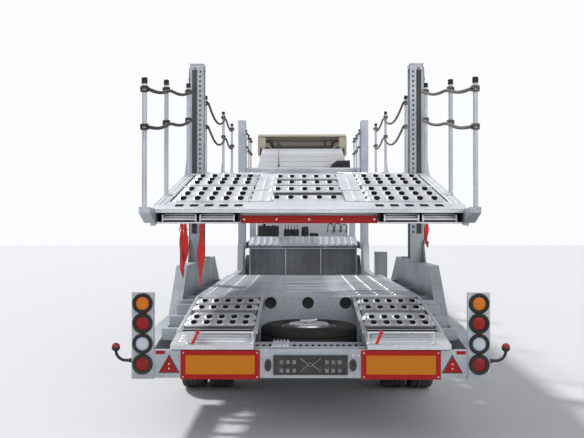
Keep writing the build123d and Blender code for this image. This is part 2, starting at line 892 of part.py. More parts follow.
def rope(points):
    """Round rope through its route's points, its corners as wide arcs"""
    radii = []
    for a, b, c in zip(points, points[1:], points[2:]):
        turn = radians((b - a).get_angle(c - b))
        radii.append(0.45 * min((b - a).length, (c - b).length) / tan(turn / 2))
    print("rope radii", [round(radius) for radius in radii])
    with BuildLine() as route:
        FilletPolyline(*points, radius=radii)
    with BuildSketch(Plane(origin=route.line @ 0, z_dir=route.line % 0)) as section:
        Circle(rope_radius)
    sweep(section.sketch, path=route.line)


def ropes(routes):
    for side in (-1, 1):
        for drop in (0, rope_drop):
            for route in routes:
                rope([Vector(side * x, station(t), h - drop) for x, t, h in route])


with BuildPart() as rear_ropes:
    ropes(rear_rope_routes)
keep(rear_ropes, "rear_ropes")

with BuildPart() as front_ropes:
    ropes(front_rope_routes)
keep(front_ropes, "front_ropes")

# Front platform
with BuildPart() as front_platform_frame:
    line = front_deck_line
    for side in (-1, 1):
        platform_rail(line, sorted((side * 440, side * 480)), (9950, 13400))
        platform_rail(line, sorted((side * upper_rail_inner, side * upper_rail_outer)), (9640, 13400), 130)
        rod(
            (side * (upper_rail_inner - 1), front_pivot[0], front_pivot[1]),
            (side * (upper_rail_outer + 1), front_pivot[0], front_pivot[1]),
            pin_radius + running_clearance,
            Mode.SUBTRACT,
        )
    for t in (9970, 10900, 11900, 12900, 13380):
        side_outline(strip(line, (t - 20, t + 20), (upper_sheet, upper_sheet + upper_beam_depth)), (-upper_rail_inner, upper_rail_inner))
keep(front_platform_frame, "front_platform_frame")

with BuildPart() as front_platform_deck:
    side_outline(strip(front_deck_line, (9950, 13400), (0, upper_sheet)), (-upper_half_width, upper_half_width))
    block((-upper_track_inner, upper_track_inner), (10100, 13300), (2700, 2900), Mode.SUBTRACT)
    pierce(spread(10200, 12800, 12), upper_slot_places, slot_radius, upper_slot_length)
keep(front_platform_deck, "front_platform_deck")

with BuildPart() as front_posts:
    posts(front_deck_line, front_post_table)
keep(front_posts, "front_posts")

# Pull-out end pieces of the tail slope, with their hoop handles
for side, name in ((-1, "tail_slide_left"), (1, "tail_slide_right")):
    with BuildPart() as tail_slide:
        side_outline(
            strip(lower_deck_line, (5, slide_length), (0, tongue_depth)),
            sorted((side * (track_inner + 10), side * (track_outer - 10))),
        )
        side_outline(
            strip(lower_deck_line, (tongue_start, tongue_end), (tongue_depth, tongue_depth + tongue_thickness)),
            sorted((side * tongue_inner, side * tongue_outer)),
        )
        side_outline(
            strip(lower_deck_line, (5, 12), (tongue_depth - 1, tongue_depth + tongue_thickness)),
            sorted((side * (track_inner + 10), side * (track_outer - 10))),
        )
        for x in (410, 870):
            rod((side * x, 40, 770), (side * x, 40, 860), 7)
        rod((side * 403, 40, 860), (side * 877, 40, 860), 7)
    keep(tail_slide, name)


def tyre_outline(x_inner, x_outer, radius, bead):
    """Half section of one tyre: (x, radius) points"""
    return (
        (x_inner + 22, bead),
        (x_inner, bead + 70),
        (x_inner, radius - 60),
        (x_inner + 20, radius - 12),
        (x_inner + 40, radius),
        (x_outer - 40, radius),
        (x_outer - 20, radius - 12),
        (x_outer, radius - 60),
        (x_outer, bead + 70),
        (x_outer - 22, bead),
    )


def twin_wheel(side, t, radius, outer, width, pitch, bead, bore):
    """Two tyres on one hub; the dish is open to the outside"""
    for shift in (0, pitch):
        points = tyre_outline(outer - shift - width, outer - shift, radius, bead - 2)
        turned([(side * x, r) for x, r in points], (t, radius))
    inner = outer - pitch - width
    hub = (
        (inner + 20, bore),
        (inner + 20, 120),
        (inner + 60, 120),
        (inner + 60, bead - 22),
        (inner + 20, bead - 22),
        (inner + 20, bead),
        (outer - 20, bead),
        (outer - 20, bead - 22),
        (outer - 60, bead - 30),
        (outer - width + 10, bead - 50),
        (outer - width + 10, 110),
        (outer - 30, 85),
        (outer - 30, bore),
    )
    turned([(side * x, r) for x, r in hub], (t, radius))
    hand_holes(side, t, radius, (inner, outer + 5), (bead + 80) / 2)


def hand_holes(side, t, h, x_span, ring):
    """Eight round openings through a wheel's disc"""
    with BuildSketch(Plane(origin=(side * x_span[0], station(t), h), z_dir=(side, 0, 0))) as holes:
        with PolarLocations(ring, 8):
            Circle(24)
    extrude(holes.sketch, amount=x_span[1] - x_span[0], mode=Mode.SUBTRACT)


for number, t in enumerate(trailer_axles, start=1):
    for side, hand in ((-1, "left"), (1, "right")):
        with BuildPart() as wheel:
            twin_wheel(side, t, trailer_tyre_radius, trailer_wheel_outer, trailer_tyre_width, twin_pitch, spare_bead, spindle_radius + running_clearance)
        keep(wheel, f"trailer_wheels_{number}_{hand}")

tractor_bead = 286
drive_spindle_radius = 50
for side, hand in ((-1, "left"), (1, "right")):
    with BuildPart() as wheel:
        twin_wheel(side, drive_axle, tractor_tyre_radius, drive_wheel_outer, drive_tyre_width, drive_twin_pitch, tractor_bead, drive_spindle_radius + running_clearance)
    keep(wheel, f"drive_wheels_{hand}")

stub_radius = 35
for side, hand in ((-1, "left"), (1, "right")):
    inner = steer_wheel_middle - steer_tyre_width / 2
    outer = steer_wheel_middle + steer_tyre_width / 2
    with BuildPart() as wheel:
        points = tyre_outline(inner, outer, tractor_tyre_radius, tractor_bead - 2)
        turned([(side * x, r) for x, r in points], (steer_axle, tractor_tyre_radius))
        hub = (
            (inner + 65, stub_radius + running_clearance),
            (inner + 65, 120),
            (outer - 100, 120),
            (outer - 100, 200),
            (inner + 25, tractor_bead - 22),
            (inner + 25, tractor_bead),
            (outer - 25, tractor_bead),
            (outer - 25, tractor_bead - 22),
            (outer - 75, 210),
            (outer - 75, 110),
            (outer - 20, 90),
            (outer - 20, stub_radius + running_clearance),
        )
        turned([(side * x, r) for x, r in hub], (steer_axle, tractor_tyre_radius))
        hand_holes(side, steer_axle, tractor_tyre_radius, (inner - 5, outer + 5), 228)
    keep(wheel, f"front_wheel_{hand}")

# Steering knuckles: two ears round the axle's eye, a kingpin and the stub axle
eye_radius = 55
eye_low = 430
eye_high = 530
ear_height = 44
swivel_radius = 25
for side, hand in ((-1, "left"), (1, "right")):
    with BuildPart() as knuckle:
        x = side * steer_pivot
        for low in (eye_low - ear_height - 1, eye_high + 1):
            rod((x, steer_axle, low), (x, steer_axle, low + ear_height), 50)
            block(sorted((x, side * 890)), (steer_axle - 45, steer_axle + 45), (low, low + ear_height))
        rod((x, steer_axle, eye_low - ear_height), (x, steer_axle, eye_high + ear_height), swivel_radius)
        block(sorted((side * 862, side * 890)), (steer_axle - 45, steer_axle + 45), (eye_low - ear_height - 1, eye_high + ear_height + 1))
        rod(
            (side * 888, steer_axle, tractor_tyre_radius),
            (side * 1120, steer_axle, tractor_tyre_radius),
            stub_radius,
        )
    keep(knuckle, f"knuckle_{hand}")

# Tractor frame with both axles and their springs
rail_outer = rail_inner + rail_width
with BuildPart() as tractor_frame:
    for side in (-1, 1):
        block(sorted((side * rail_inner, side * rail_outer)), (tractor_rear, cab_pivot[0]), (rail_bottom, rail_top))
        block(sorted((side * 340, side * 500)), (drive_axle - 420, drive_axle + 420), (tractor_tyre_radius + 60, tractor_tyre_radius + 95))
        for shift in (-310, 310):
            rod((side * 420, drive_axle + shift, tractor_tyre_radius + 90), (side * 420, drive_axle + shift, rail_bottom), 110)
        block(sorted((side * 385, side * 455)), (steer_axle - 620, steer_axle + 620), (500, 560))
        for shift in (-600, 600):
            block(sorted((side * 385, side * 455)), (steer_axle + shift - 30, steer_axle + shift + 30), (500, rail_bottom))
        rod(
            (side * 560, drive_axle, tractor_tyre_radius),
            (side * (drive_wheel_outer - 40), drive_axle, tractor_tyre_radius),
            drive_spindle_radius,
        )
        rod((side * steer_pivot, steer_axle, eye_low), (side * steer_pivot, steer_axle, eye_high), eye_radius)
    for side in (-1, 1):
        block(
            sorted((side * rail_inner, side * rail_outer)),
            (cab_pivot[0] - 10, cab_pivot[0] + 30),
            (cab_pivot[1] - 100, cab_pivot[1]),
        )
        rod((side * rail_inner, *cab_pivot), (side * rail_outer, *cab_pivot), 38)
        rod((side * (rail_inner - 48), *cab_pivot), (side * (rail_outer + 48), *cab_pivot), cab_pin_radius)
    for t in (tractor_rear + 60, 12700, 13900, cab_pivot[0] - 220):
        block((-rail_inner, rail_inner), (t - 40, t + 40), (rail_bottom + 20, rail_top - 20))
    rod((-580, drive_axle, tractor_tyre_radius), (580, drive_axle, tractor_tyre_radius), 80)
    rod((0, drive_axle - 170, tractor_tyre_radius), (0, drive_axle + 210, tractor_tyre_radius), 175)
    block((-steer_pivot, steer_pivot), (steer_axle - 45, steer_axle + 45), (eye_low + 10, eye_high - 15))
    for side in (-1, 1):
        rod(
            (side * steer_pivot, steer_axle, eye_low - 1),
            (side * steer_pivot, steer_axle, eye_high + 1),
            swivel_radius + running_clearance,
            Mode.SUBTRACT,
        )
keep(tractor_frame, "tractor_frame")

# Fifth wheel: horseshoe plate with a rear slot, on its pedestal
plate_top = neck_underside - coupling_gap
with BuildPart() as fifth_wheel:
    with BuildSketch(Plane.XY.offset(plate_top - 40)):
        with Locations((0, station(coupling_station))):
            Circle(470)
            Circle(kingpin_radius + running_clearance, mode=Mode.SUBTRACT)
        with Locations((0, station(coupling_station - 300))):
            Rectangle(2 * kingpin_radius + 8, 600, mode=Mode.SUBTRACT)
    extrude(amount=40)
    for side in (-1, 1):
        block(sorted((side * 300, side * 400)), (coupling_station - 150, coupling_station + 150), (rail_top + 10, plate_top - 40))
        block(sorted((side * 300, side * rail_outer)), (coupling_station - 300, coupling_station + 300), (rail_top, rail_top + 12))
keep(fifth_wheel, "fifth_wheel")

with BuildPart() as engine:
    block((-340, 340), (14800, 15900), (600, 1090))
    for t in (14900, 15800):
        block((-rail_inner, rail_inner), (t - 40, t + 40), (780, 860))
keep(engine, "engine")

# Fuel tank on the left, battery and air tank box on the right
with BuildPart() as tanks:
    for side in (-1, 1):
        section = ((560, 500), (640, 400), (1090, 400), (1180, 500), (1180, 890), (1090, 980), (640, 980), (560, 890))
        cross_outline([(side * x, h) for x, h in section], (12720, 14080))
        for t in (12950, 13850):
            block(sorted((side * rail_outer, side * 560)), (t - 40, t + 40), (780, 860))
keep(tanks, "tanks")

with BuildPart() as mudguards:
    for side in (-1, 1):
        span = sorted((side * 600, side * 1220))
        guard_inner = tractor_tyre_radius + 45
        with BuildSketch(Plane.YZ.offset(span[0])):
            with Locations((station(drive_axle), tractor_tyre_radius)):
                Circle(guard_inner + 12)
                Circle(guard_inner, mode=Mode.SUBTRACT)
            with Locations((station(drive_axle), tractor_tyre_radius - 300)):
                Rectangle(2000, 900, mode=Mode.SUBTRACT)
        extrude(amount=span[1] - span[0])
        block(sorted((side * rail_outer, side * 620)), (drive_axle - 25, drive_axle + 25), (960, 990))
        block(sorted((side * 600, side * 620)), (drive_axle - 25, drive_axle + 25), (960, 1007))
keep(mudguards, "mudguards")

# Bumper: deep lower block and a thin skin up to the cab's lower panel, which swings down inside it
bumper_top = 700
skin_top = 850
with BuildPart() as bumper:
    block((-1180, 1180), (cab_front - 150, cab_front + 50), (340, bumper_top))
    block((-1180, 1180), (cab_front + 12, cab_front + 50), (bumper_top, skin_top))
    for side in (-1, 1):
        block(sorted((side * 760, side * 1130)), (cab_front + 30, cab_front + 60), (520, 690), Mode.SUBTRACT)
        block(sorted((side * 780, side * 980)), (cab_front + 30, cab_front + 60), (390, 470), Mode.SUBTRACT)
    block((-620, 620), (cab_front + 20, cab_front + 60), (400, 500), Mode.SUBTRACT)
    for side in (-1, 1):
        block(sorted((side * rail_inner, side * rail_outer)), (cab_pivot[0], cab_front - 150), (600, 670))
        block(
            sorted((side * rail_inner, side * rail_outer)),
            (cab_pivot[0] - 50, cab_pivot[0]),
            (600, rail_bottom),
        )
keep(bumper, "bumper")

# Entry steps: a box open to the side with two treads
step_front = cab_front - 150
with BuildPart() as cab_steps:
    for side in (-1, 1):
        block(sorted((side * 860, side * 1180)), (step_front - 600, step_front), (360, 670))
        for low in (400, 530):
            block(
                sorted((side * 940, side * 1190)),
                (step_front - 570, step_front - 40),
                (low, low + 100),
                Mode.SUBTRACT,
            )
        block(sorted((side * rail_outer, side * 860)), (step_front - 280, step_front - 200), (620, 670))
        block(sorted((side * rail_outer, side * 520)), (step_front - 280, step_front - 200), (620, 800))
keep(cab_steps, "cab_steps")

# Cab: one outline for the outside and one for the room inside
roof_back = cab_rear + 130
roof_edge = cab_front - 680
roof_line = ((roof_back, cab_roof), (roof_edge, cab_roof - 30))
cab_outside = (
    (cab_rear, cab_floor),
    (cab_rear, cab_roof - 130),
    (roof_back, cab_roof),
    (roof_edge, cab_roof - 30),
    (cab_front - 360, cab_roof - 230),
    (cab_front - 180, cab_roof - 740),
    (cab_front - 60, cab_floor + 850),
    (cab_front, cab_floor + 610),
    (cab_front, cab_floor - 240),
    (cab_front - cab_wall, cab_floor - 240),
    (cab_front - cab_wall, cab_floor - 90),
    (cab_front - 320, cab_floor - 90),
    (cab_front - 320, cab_floor),
)
room_floor = cab_floor + 190
cab_room = (
    (cab_rear + cab_wall, room_floor),
    (cab_rear + cab_wall, cab_roof - 160),
    (roof_back + 20, cab_roof - cab_wall),
    (roof_edge - 30, cab_roof - cab_wall - 30),
    (cab_front - 410, cab_roof - 260),
    (cab_front - 235, cab_roof - 750),
    (cab_front - 115, cab_floor + 840),
    (cab_front - 60, cab_floor + 590),
    (cab_front - 60, room_floor),
)
shoulder_height = cab_roof - 610
glass_half = cab_half_width - 150
glass_bottom = cab_floor + 880
glass_top = cab_roof - 810
with BuildPart() as cab_shell:
    side_outline(cab_outside, (-cab_half_width, cab_half_width))
    for side in (-1, 1):
        cross_outline(
            (
                (side * (cab_half_width + 5), shoulder_height),
                (side * (cab_half_width + 5), cab_roof + 5),
                (side * (cab_half_width - 150), cab_roof + 5),
            ),
            (cab_rear - 5, cab_front + 5),
            Mode.SUBTRACT,
        )
        with BuildSketch() as corner:
            with BuildLine():
                Polyline(
                    (side * (cab_half_width + 5), station(cab_front - 170)),
                    (side * (cab_half_width + 5), station(cab_front + 5)),
                    (side * (cab_half_width - 125), station(cab_front + 5)),
                    close=True,
                )
            make_face()
        extrude(corner.sketch, amount=overall_height, mode=Mode.SUBTRACT)
    for h in spread(cab_roof - 560, cab_roof - 200, 4):
        block((-900, 640), (cab_rear - 14, cab_rear), (h - 16, h + 16))
    for h in spread(cab_floor - 190, cab_floor + 430, 9):
        block((-760, 760), (cab_front - 25, cab_front + 5), (h - 18, h + 18), Mode.SUBTRACT)
    side_outline(cab_room, (-cab_half_width + cab_wall + 60, cab_half_width - cab_wall - 60), Mode.SUBTRACT)
    side_outline(
        tuple((t, min(h, shoulder_height)) for t, h in cab_room),
        (-cab_half_width + cab_wall, cab_half_width - cab_wall),
        Mode.SUBTRACT,
    )
    block((-glass_half, glass_half), (cab_front - 280, cab_front + 20), (glass_bottom, glass_top), Mode.SUBTRACT)
    for side in (-1, 1):
        pin_x = side * (cab_half_width + hinge_offset)
        for low in hinge_heights:
            for ear_low in (low - hinge_ear, low + 60):
                block(
                    sorted((side * cab_half_width, side * (cab_half_width + 2 * hinge_offset))),
                    (hinge_station - 12, hinge_station + 30),
                    (ear_low, ear_low + hinge_ear),
                )
            rod((pin_x, hinge_station, low - hinge_ear), (pin_x, hinge_station, low + 60 + hinge_ear), hinge_pin_radius)
        block(
            sorted((side * (cab_half_width - 2 * cab_wall), side * (cab_half_width + 5))),
            (door_start, door_end),
            (door_bottom, door_top),
            Mode.SUBTRACT,
        )
    for side in (-1, 1):
        pivot_t, pivot_h = cab_pivot
        block(
            sorted((side * (rail_inner - 50), side * (rail_outer + 50))),
            (pivot_t - 70, pivot_t + 100),
            (pivot_h, pivot_h + 80),
            Mode.SUBTRACT,
        )
        for ear in (rail_inner - 45, rail_outer + 5):
            block(
                sorted((side * ear, side * (ear + 40))),
                (pivot_t - 30, pivot_t + 30),
                (pivot_h - 40, pivot_h + 81),
            )
        rod(
            (side * (rail_inner - 50), *cab_pivot),
            (side * (rail_outer + 50), *cab_pivot),
            cab_pin_radius + running_clearance,
            Mode.SUBTRACT,
        )
keep(cab_shell, "cab_shell")

for side, hand in ((-1, "left"), (1, "right")):
    with BuildPart() as door:
        c = door_clearance
        block(
            sorted((side * (cab_half_width - cab_wall), side * cab_half_width)),
            (door_start + c, door_end - c),
            (door_bottom + c, door_top - c),
        )
        window = (
            (door_start + 110, door_top - 850),
            (door_start + 110, door_top - 100),
            (door_end - 130, door_top - 100),
            (door_end - 90, door_top - 850),
        )
        side_outline(window, sorted((side * (cab_half_width - 2 * cab_wall), side * (cab_half_width + 5))), Mode.SUBTRACT)
        pin_x = side * (cab_half_width + hinge_offset)
        for low in hinge_heights:
            block(
                sorted((side * cab_half_width, side * (cab_half_width + 2 * hinge_offset - 1))),
                (hinge_station - 50, hinge_station),
                (low + 1, low + 59),
            )
            rod((pin_x, hinge_station, low + 1), (pin_x, hinge_station, low + 59), hinge_offset - 0.5)
            rod(
                (pin_x, hinge_station, low),
                (pin_x, hinge_station, low + 60),
                hinge_pin_radius + running_clearance,
                Mode.SUBTRACT,
            )
    keep(door, f"door_{hand}")

with BuildPart() as windscreen:
    glass = (
        (cab_front - 175, glass_top - 1),
        (cab_front - 69, glass_bottom + 1),
        (cab_front - 77, glass_bottom + 1),
        (cab_front - 183, glass_top - 1),
    )
    side_outline(glass, (0.5 - glass_half, glass_half - 0.5))
keep(windscreen, "windscreen")

# Bunk across the back, two seats and the dashboard
seat_back = door_start - 50
room_half = cab_half_width - cab_wall
with BuildPart() as cab_interior:
    block((5 - room_half, room_half - 5), (cab_rear + cab_wall + 5, seat_back - 50), (room_floor, room_floor + 550))
    for x in (-560, 560):
        block((x - 260, x + 260), (seat_back + 50, seat_back + 550), (room_floor, room_floor + 480))
        block((x - 250, x + 250), (seat_back, seat_back + 150), (room_floor + 480, room_floor + 1150))
    block((10 - room_half, room_half - 10), (cab_front - 460, cab_front - 150), (room_floor + 350, glass_bottom - 30))
    block((10 - room_half, room_half - 10), (cab_front - 280, cab_front - 65), (room_floor, room_floor + 350))
keep(cab_interior, "cab_interior")

# Roof deflector: a shell open at the back, on four feet, with a strut to each side
deflector_rear = cab_rear + 270
deflector_half = cab_half_width - 25
deflector_top = cab_roof + 390
with BuildPart() as roof_deflector:
    outline = (
        (deflector_rear, cab_roof - 150),
        (deflector_rear, deflector_top - 40),
        (deflector_rear + 60, deflector_top),
        (deflector_rear + 580, deflector_top - 50),
        (cab_front - 780, deflector_top - 180),
        (cab_front - 480, deflector_top - 360),
        (cab_front - 480, cab_roof - 150),
    )
    side_outline(outline, (-deflector_half, deflector_half))
    room = (
        (deflector_rear - 20, cab_roof - 210),
        (deflector_rear - 20, deflector_top - 55),
        (deflector_rear + 60, deflector_top - 28),
        (deflector_rear + 570, deflector_top - 78),
        (cab_front - 790, deflector_top - 205),
        (cab_front - 520, deflector_top - 375),
        (cab_front - 520, cab_roof - 30),
        (cab_front - 470, cab_roof - 30),
        (cab_front - 470, cab_roof - 210),
    )
    side_outline(room, (40 - deflector_half, deflector_half - 40), Mode.SUBTRACT)
    for side in (-1, 1):
        foot = deflector_rear + 50
        side_outline(strip(roof_line, (foot, foot + 60), (-40, 0)), sorted((side * 730, side * 790)))
        rod(
            (side * 760, foot + 30, cab_roof + 25),
            (side * (deflector_half - 30), foot + 30, cab_roof + 220),
            18,
        )
        front_foot = cab_front - 790
        side_outline(strip(roof_line, (front_foot, front_foot + 50), (-220, 0)), sorted((side * 600, side * 640)))
keep(roof_deflector, "roof_deflector")

with BuildPart() as air_intake:
    intake = ((650, 3010), (650, 3060), (740, 3180), (860, 3280), (1190, 3290), (1200, 3010))
    cross_outline(intake, (cab_rear - 200, cab_rear))
keep(air_intake, "air_intake")

mirror_station = cab_front - 240
with BuildPart() as mirrors:
    for side in (-1, 1):
        arm = sorted((side * cab_half_width, side * (cab_half_width + 50)))
        block(
            sorted((side * (cab_half_width + 50), side * (cab_half_width + 210))),
            (mirror_station - 60, mirror_station + 60),
            (cab_floor + 840, cab_floor + 1390),
        )
        for low in (cab_floor + 870, cab_floor + 1340):
            block(arm, (mirror_station - 40, mirror_station), (low, low + 40))
keep(mirrors, "mirrors")
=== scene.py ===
"""Looks of the car transporter: a two-deck car-carrying semi-trailer on its tractor, seen from behind."""

from math import cos, pi, radians, sin, tau

import bmesh
import bpy
from mathutils import Matrix, Vector


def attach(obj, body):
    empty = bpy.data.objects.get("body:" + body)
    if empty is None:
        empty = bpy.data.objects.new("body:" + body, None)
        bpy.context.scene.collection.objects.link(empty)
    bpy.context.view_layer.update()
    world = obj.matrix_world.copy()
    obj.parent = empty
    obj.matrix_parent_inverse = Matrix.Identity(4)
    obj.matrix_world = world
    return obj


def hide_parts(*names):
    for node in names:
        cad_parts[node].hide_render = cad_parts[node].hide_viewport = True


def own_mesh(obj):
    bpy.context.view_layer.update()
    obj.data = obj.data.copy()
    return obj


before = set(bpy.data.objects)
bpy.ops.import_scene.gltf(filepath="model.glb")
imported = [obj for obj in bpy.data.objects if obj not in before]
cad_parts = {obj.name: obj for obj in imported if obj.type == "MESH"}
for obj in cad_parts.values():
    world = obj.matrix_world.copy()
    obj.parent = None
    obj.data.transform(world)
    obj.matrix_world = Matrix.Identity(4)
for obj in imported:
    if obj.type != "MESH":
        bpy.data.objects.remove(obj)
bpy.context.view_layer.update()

scene = bpy.context.scene
scene.view_settings.view_transform = "Standard"
tail = -8.265  # y of the tail lamps' rear faces; a station is counted forward from there

# The camera stands behind the trailer at eye height, as the photographer did.
camera_data = bpy.data.cameras.new("camera")
camera_data.lens = 48.7
camera_data.sensor_width = 36
camera_data.clip_end = 200
camera = bpy.data.objects.new("camera", camera_data)
camera.location = (-0.081, -13.828, 1.60)
camera.rotation_euler = (radians(90.65), 0, radians(0.51))
scene.collection.objects.link(camera)
scene.camera = camera

# A plain pale floor, seen as near white, that keeps the vehicle's shadow.
floor_half = 60
floor_mesh = bpy.data.meshes.new("floor")
bm = bmesh.new()
bmesh.ops.create_grid(bm, x_segments=1, y_segments=1, size=floor_half)
bm.to_mesh(floor_mesh)
bm.free()
floor = bpy.data.objects.new("floor", floor_mesh)
scene.collection.objects.link(floor)
floor_finish = bpy.data.materials.new("pale_floor")
floor_finish.use_nodes = True
floor_shader = floor_finish.node_tree.nodes["Principled BSDF"]
floor_shader.inputs["Base Color"].default_value = (0.70, 0.70, 0.71, 1)
floor_shader.inputs["Roughness"].default_value = 0.85
floor_mesh.materials.append(floor_finish)

# Soft studio light: a bright sky all round, the key lamp high ahead on the left, as the sun stood in the
# photograph, and a weak broad lamp behind the camera.
world = bpy.data.worlds.new("studio")
scene.world = world
world.use_nodes = True
nodes = world.node_tree.nodes
links = world.node_tree.links
sky = nodes["Background"]
backdrop = nodes.new("ShaderNodeBackground")
for background, colour, strength in ((sky, (0.93, 0.96, 1.0, 1), 0.42), (backdrop, (0.97, 0.98, 1.0, 1), 1.0)):
    background.inputs["Color"].default_value = colour
    background.inputs["Strength"].default_value = strength
rays = nodes.new("ShaderNodeLightPath").outputs
seen = rays["Is Camera Ray"]
for ray in ("Is Transmission Ray", "Is Glossy Ray"):
    either = nodes.new("ShaderNodeMath")
    either.operation = "MAXIMUM"
    links.new(seen, either.inputs[0])
    links.new(rays[ray], either.inputs[1])
    seen = either.outputs[0]
choose = nodes.new("ShaderNodeMixShader")
for index, source in enumerate((seen, sky.outputs[0], backdrop.outputs[0])):
    links.new(source, choose.inputs[index])
links.new(choose.outputs[0], nodes["World Output"].inputs["Surface"])
for name, strength, angle, towards in (
    ("key_light", 2.5, 6, (-0.42, 0.42, 0.80)),
    ("fill_light", 0.85, 50, (0.30, -0.85, 0.45)),
):
    lamp_data = bpy.data.lights.new(name, "SUN")
    lamp_data.energy = strength
    lamp_data.angle = radians(angle)
    lamp = bpy.data.objects.new(name, lamp_data)
    lamp.rotation_euler = Vector(towards).to_track_quat("Z", "Y").to_euler()
    scene.collection.objects.link(lamp)


# Guard ropes: braided rope, knotted round the posts, that dips between them. Two hang at each side of
# every row of posts; the routes' points are those of the solid ropes.
hands = ((-1, "left"), (1, "right"))


def add_node(tree, kind, values=None, wires=None, **traits):
    """A shader node: its traits, the values of its inputs, and the sockets wired into them"""
    node = tree.nodes.new("ShaderNode" + kind)
    for trait, value in traits.items():
        setattr(node, trait, value)
    for socket, value in (values or {}).items():
        node.inputs[socket].default_value = value
    for socket, source in (wires or {}).items():
        tree.links.new(source, node.inputs[socket])
    return node.outputs


def add_ramp(tree, factor, first, second, places=(0, 1)):
    """A blend from one tone to another"""
    node = tree.nodes.new("ShaderNodeValToRGB")
    for element, colour, place in zip(node.color_ramp.elements, (first, second), places):
        element.position = place
        element.color = (*colour, 1)
    tree.links.new(factor, node.inputs["Fac"])
    return node.outputs["Color"]


def add_bump(tree, shader, height, strength, distance):
    """Relief from a height socket"""
    relief = add_node(tree, "Bump", {"Strength": strength, "Distance": distance}, {"Height": height})
    tree.links.new(relief["Normal"], shader.inputs["Normal"])


def material_nodes(name, values=None):
    """A new material, its node tree, its main shader and the object's own coordinates"""
    material = bpy.data.materials.new(name)
    material.use_nodes = True
    tree = material.node_tree
    shader = tree.nodes["Principled BSDF"]
    for socket, value in (values or {}).items():
        shader.inputs[socket].default_value = value
    return material, tree, shader, add_node(tree, "TexCoord")["Object"]


def worn_finish(name, colour, other, metallic=0.0, roughness=(0.4, 0.6), scale=3.0, grain=60.0, bump=0.15,
                dust=(0.30, 0.27, 0.23), dust_amount=0.25, flat=(1, 1, 1)):
    """Two tones in soft clouds, fine grain in the bump, and dust that gathers towards the road"""
    specular = 0.5 if metallic else 0.22
    material, tree, shader, place = material_nodes(name, {"Metallic": metallic, "Specular IOR Level": specular})
    spread = add_node(tree, "Mapping", {"Scale": flat}, {"Vector": place})[0]
    clouds = add_node(tree, "TexNoise", {"Scale": scale, "Detail": 6}, {"Vector": spread})["Fac"]
    fine = add_node(tree, "TexNoise", {"Scale": grain, "Detail": 4}, {"Vector": spread})["Fac"]
    tones = add_ramp(tree, clouds, colour, other, (0.35, 0.68))
    height = add_node(tree, "SeparateXYZ", wires={0: place})["Z"]
    low = add_node(tree, "MapRange", {"From Min": 1.2, "From Max": 0.2, "To Max": dust_amount}, {"Value": height})
    patches = add_node(tree, "Math", wires={0: low["Result"], 1: clouds}, operation="MULTIPLY")[0]
    dusty = add_node(tree, "Mix", {7: (*dust, 1)}, {"Factor": patches, 6: tones}, data_type="RGBA")
    tree.links.new(dusty[2], shader.inputs["Base Color"])
    gloss = add_node(tree, "MapRange", {"To Min": roughness[0], "To Max": roughness[1]}, {"Value": clouds})
    tree.links.new(gloss["Result"], shader.inputs["Roughness"])
    add_bump(tree, shader, fine, bump, 0.002)
    return material


def rope_finish(name, colour):
    """Braided cover: crossing strands in tone and bump"""
    material, tree, shader, place = material_nodes(name, {"Roughness": 0.8})
    braid = add_node(tree, "TexWave", {"Scale": 45, "Distortion": 1.5}, {"Vector": place}, wave_type="BANDS",
                     bands_direction="DIAGONAL")["Color"]
    tones = add_ramp(tree, braid, [part * 0.55 for part in colour], colour)
    tree.links.new(tones, shader.inputs["Base Color"])
    add_bump(tree, shader, braid, 0.5, 0.003)
    return material


def finished_piece(name, bm, material, body="trailer", soft=0, segments=2, smooth=False):
    """Turn a finished bmesh into a piece that rides on a body; soft is the width of its rounded arrises"""
    bmesh.ops.recalc_face_normals(bm, faces=bm.faces)
    mesh = bpy.data.meshes.new(name)
    bm.to_mesh(mesh)
    bm.free()
    mesh.materials.append(material)
    for face in mesh.polygons:
        face.use_smooth = smooth
    piece = bpy.data.objects.new(name, mesh)
    scene.collection.objects.link(piece)
    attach(piece, body)
    if soft:
        bevel = piece.modifiers.new("soft_edges", "BEVEL")
        bevel.width = soft
        bevel.segments = segments
        bevel.limit_method = "ANGLE"
    return piece


def turned_ring(bm, profile, middle, axis, steps):
    """Spin (radius, distance along the axis) points about an axis through middle"""
    spin_axis = Vector(axis)
    across = spin_axis.orthogonal().normalized()
    start = [bm.verts.new(Vector(middle) + across * radius + spin_axis * along) for radius, along in profile]
    edges = [bm.edges.new(pair) for pair in zip(start, start[1:])]
    bmesh.ops.spin(bm, geom=start + edges, cent=middle, axis=spin_axis, angle=tau, steps=steps, use_merge=True)
    bmesh.ops.remove_doubles(bm, verts=bm.verts, dist=1e-5)


def round_cord(name, places, diameter, material, body):
    """A cord along a smooth curve that its points draw towards them, and the length of its straight runs"""
    curve = bpy.data.curves.new(name, "CURVE")
    curve.dimensions = "3D"
    curve.bevel_depth = diameter / 2
    curve.bevel_resolution = 3
    curve.resolution_u = 8
    curve.use_fill_caps = True
    line = curve.splines.new("NURBS")
    line.points.add(len(places) - 1)
    for point, place in zip(line.points, places):
        point.co = (*place, 1)
    line.order_u = 3
    line.use_endpoint_u = True
    curve.materials.append(material)
    cord = bpy.data.objects.new(name, curve)
    scene.collection.objects.link(cord)
    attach(cord, body)
    return cord, sum((Vector(a) - Vector(b)).length for a, b in zip(places, places[1:]))


